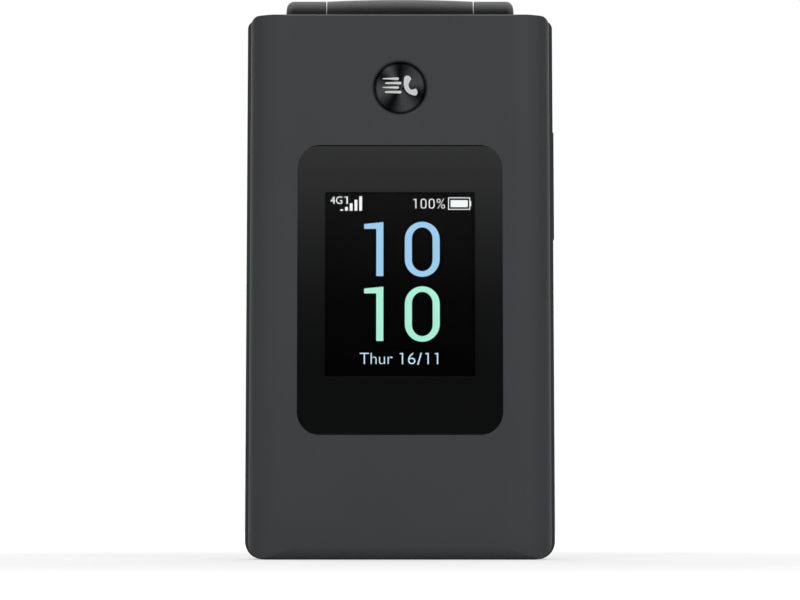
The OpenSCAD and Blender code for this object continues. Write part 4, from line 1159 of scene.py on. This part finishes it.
class TELEPHONE_OT_stage(bpy.types.Operator):
    """Set up the floor, the soft lights, the white surround and the camera"""
    bl_idname = "telephone.stage"
    bl_label = "Stage"

    def execute(self, context):
        looks = context.scene.telephone_stage
        scene = context.scene
        scene.view_settings.view_transform = "Standard"
        self.floor(scene, looks.floor)
        self.lamps(scene, looks.key, looks.strips)
        self.surround(scene, looks.fill)

        data = bpy.data.cameras.new("camera")
        data.sensor_width = 36
        data.lens = looks.lens
        data.clip_start = 0.01
        camera = bpy.data.objects.new("camera", data)
        scene.collection.objects.link(camera)
        camera.location = (0, CAD_BOX[0][1] - looks.distance, looks.height)
        camera.rotation_euler = (QUARTER_TURN + looks.pitch, 0, 0)
        scene.camera = camera
        return {"FINISHED"}

    def floor(self, scene, base):
        """Smooth white paper. It keeps the shadow, and a painted glow that only the camera sees, weaker
        near the telephone, makes it read white where nothing stands near it.
        """
        material, tree, place = start("Paper, smooth white")
        fibre = add(tree, "TexNoise", {"Vector": place, "Scale": per(3), "Detail": 3.0})
        paper = add(tree, "BsdfDiffuse", {"Color": varied(tree, fibre, 0.99, 1.01, base)})
        # Painted light: for the camera the paper glows, least near the telephone and fully white from
        # 0.35 m out, so the floor round the telephone reads greyer
        away = add(tree, "VectorMath", {0: place}, operation="LENGTH").outputs["Value"]
        glow = add(tree, "MapRange", {
            "Value": away, "From Min": 0.08, "From Max": 0.35, "To Min": 0.47, "To Max": 1.0},
            interpolation_type="SMOOTHSTEP")
        lift = add(tree, "Emission", {"Color": (1, 1, 1, 1), "Strength": glow})
        both = add(tree, "AddShader", {0: paper, 1: lift})
        seen = add(tree, "LightPath").outputs["Is Camera Ray"]
        add(tree, "OutputMaterial", {"Surface": add(tree, "MixShader", {0: seen, 1: paper, 2: both})})

        half = 2.2
        mesh = bpy.data.meshes.new("floor")
        mesh.from_pydata([(-half, -half, 0), (half, -half, 0), (half, half, 0), (-half, half, 0)], [],
                         [(0, 1, 2, 3)])
        mesh.materials.append(material)
        floor = bpy.data.objects.new("floor", mesh)
        scene.collection.objects.link(floor)

    def lamps(self, scene, key, strips):
        """One wide lamp overhead and a narrow one on each side, all turned to the telephone."""
        target = Vector((0, 0, 0.09))
        for name, place, wide, tall, power in (("overhead", (0, 0.15, 0.8), 0.9, 0.5, key),
                                               ("left", (-0.26, -0.6, 0.5), 0.1, 0.34, strips),
                                               ("right", (0.44, -0.6, 0.36), 0.1, 0.34, strips)):
            data = bpy.data.lights.new(name, "AREA")
            data.shape = "RECTANGLE"
            data.size = wide
            data.size_y = tall
            data.energy = power
            lamp = bpy.data.objects.new(name, data)
            scene.collection.objects.link(lamp)
            lamp.location = place
            lamp.rotation_euler = (target - Vector(place)).to_track_quat("-Z", "Y").to_euler()

    def surround(self, scene, fill):
        """White for the camera. For reflections it is white behind and above, and in front a soft box
        that fades out towards a dark horizon. The even light is grey and comes from around, less of it
        from the sides and from above."""
        world = bpy.data.worlds.new("surround")
        scene.world = world
        world.use_nodes = True
        tree = world.node_tree
        tree.nodes.clear()
        way = add(tree, "TexCoord").outputs["Generated"]
        parts = add(tree, "SeparateXYZ", {"Vector": way})
        along, up = parts.outputs["Y"], parts.outputs["Z"]
        aside = add(tree, "Math", {0: parts.outputs["X"]}, operation="ABSOLUTE")

        # How bright the soft box is at each height
        rise = add(tree, "ValToRGB", {"Fac": up})
        stops = rise.color_ramp.elements
        stops[0].position = 0.065
        for position, level in ((0.095, 0.12), (0.12, 0.32), (0.14, 0.55), (0.16, 0.75), (0.22, 0.85),
                                (0.35, 0.5), (0.6, 0.12)):
            stops.new(position).color = (level, level, level, 1)
        for end in (stops[0], stops[-1]):
            end.color = (0.05, 0.05, 0.05, 1)

        # Each goes smoothly from low at one value of a direction to high at the other
        behind, box_sides, ahead, overhead, even, even_sides = (
            add(tree, "MapRange", {
                "Value": value, "From Min": first, "From Max": last, "To Min": low, "To Max": high},
                interpolation_type="SMOOTHSTEP")
            for value, first, last, low, high in (
                (along, 0.3, 0.85, 0, 0.55), (aside, 0.35, 0.95, 1, 0.15), (along, -0.65, 0, 0, 1),
                (up, 0.35, 0.75, 0, 1), (up, 0.2, 0.9, fill * 1.5, fill * 0.35),
                (aside, 0.35, 0.95, 1, 0.3)))
        soft_box, ceiling, grey = (
            add(tree, "Math", {0: one, 1: other}, operation="MULTIPLY")
            for one, other in ((rise, box_sides), (ahead, overhead), (even, even_sides)))
        path = add(tree, "LightPath").outputs
        white, sharp = (
            add(tree, "Math", {0: one, 1: other}, operation="MAXIMUM")
            for one, other in ((behind, ceiling), (path["Is Glossy Ray"], path["Is Transmission Ray"])))
        pure = (1, 1, 1, 1)
        mirrored = add(tree, "Mix", {0: white, 6: soft_box, 7: pure}, data_type="RGBA").outputs[2]
        lit = add(tree, "Mix", {0: sharp, 6: grey, 7: mirrored}, data_type="RGBA").outputs[2]
        shown = add(tree, "Mix", {0: path["Is Camera Ray"], 6: lit, 7: pure}, data_type="RGBA")
        background = add(tree, "Background", {"Color": shown.outputs[2], "Strength": 1.0})
        add(tree, "OutputWorld", {"Surface": background})


class TELEPHONE_PT_panel(bpy.types.Panel):
    """Lists the steps and their values"""
    bl_idname = "TELEPHONE_PT_panel"
    bl_label = "Folding telephone"
    bl_space_type = "VIEW_3D"
    bl_region_type = "UI"
    bl_category = "Telephone"

    def draw(self, context):
        for step in STEPS:
            self.layout.operator(step.bl_idname)
        for group, kind in GROUPS.items():
            column = self.layout.column()
            column.label(text=group.replace("telephone_", "").replace("_", " ").capitalize())
            for value in kind.__annotations__:
                column.prop(getattr(context.scene, group), value)


STEPS = (
    TELEPHONE_OT_casings, TELEPHONE_OT_outer_screen, TELEPHONE_OT_main_screen, TELEPHONE_OT_call_button,
    TELEPHONE_OT_keypad, TELEPHONE_OT_side_trim, TELEPHONE_OT_back_trim, TELEPHONE_OT_inner_parts,
    TELEPHONE_OT_stage,
)


def register():
    for group in GROUPS.values():
        bpy.utils.register_class(group)
    for step in STEPS:
        bpy.utils.register_class(step)
    bpy.utils.register_class(TELEPHONE_PT_panel)
    for name, group in GROUPS.items():
        setattr(bpy.types.Scene, name, bpy.props.PointerProperty(type=group))


def unregister():
    for name in GROUPS:
        delattr(bpy.types.Scene, name)
    bpy.utils.unregister_class(TELEPHONE_PT_panel)
    for step in reversed(STEPS):
        bpy.utils.unregister_class(step)
    for group in reversed(list(GROUPS.values())):
        bpy.utils.unregister_class(group)


def main():
    register()
    bpy.ops.telephone.casings()
    bpy.ops.telephone.outer_screen()
    bpy.ops.telephone.main_screen()
    bpy.ops.telephone.call_button()
    bpy.ops.telephone.keypad()
    bpy.ops.telephone.side_trim()
    bpy.ops.telephone.back_trim()
    bpy.ops.telephone.inner_parts()
    bpy.ops.telephone.stage()


if __name__ == "__main__":
    main()
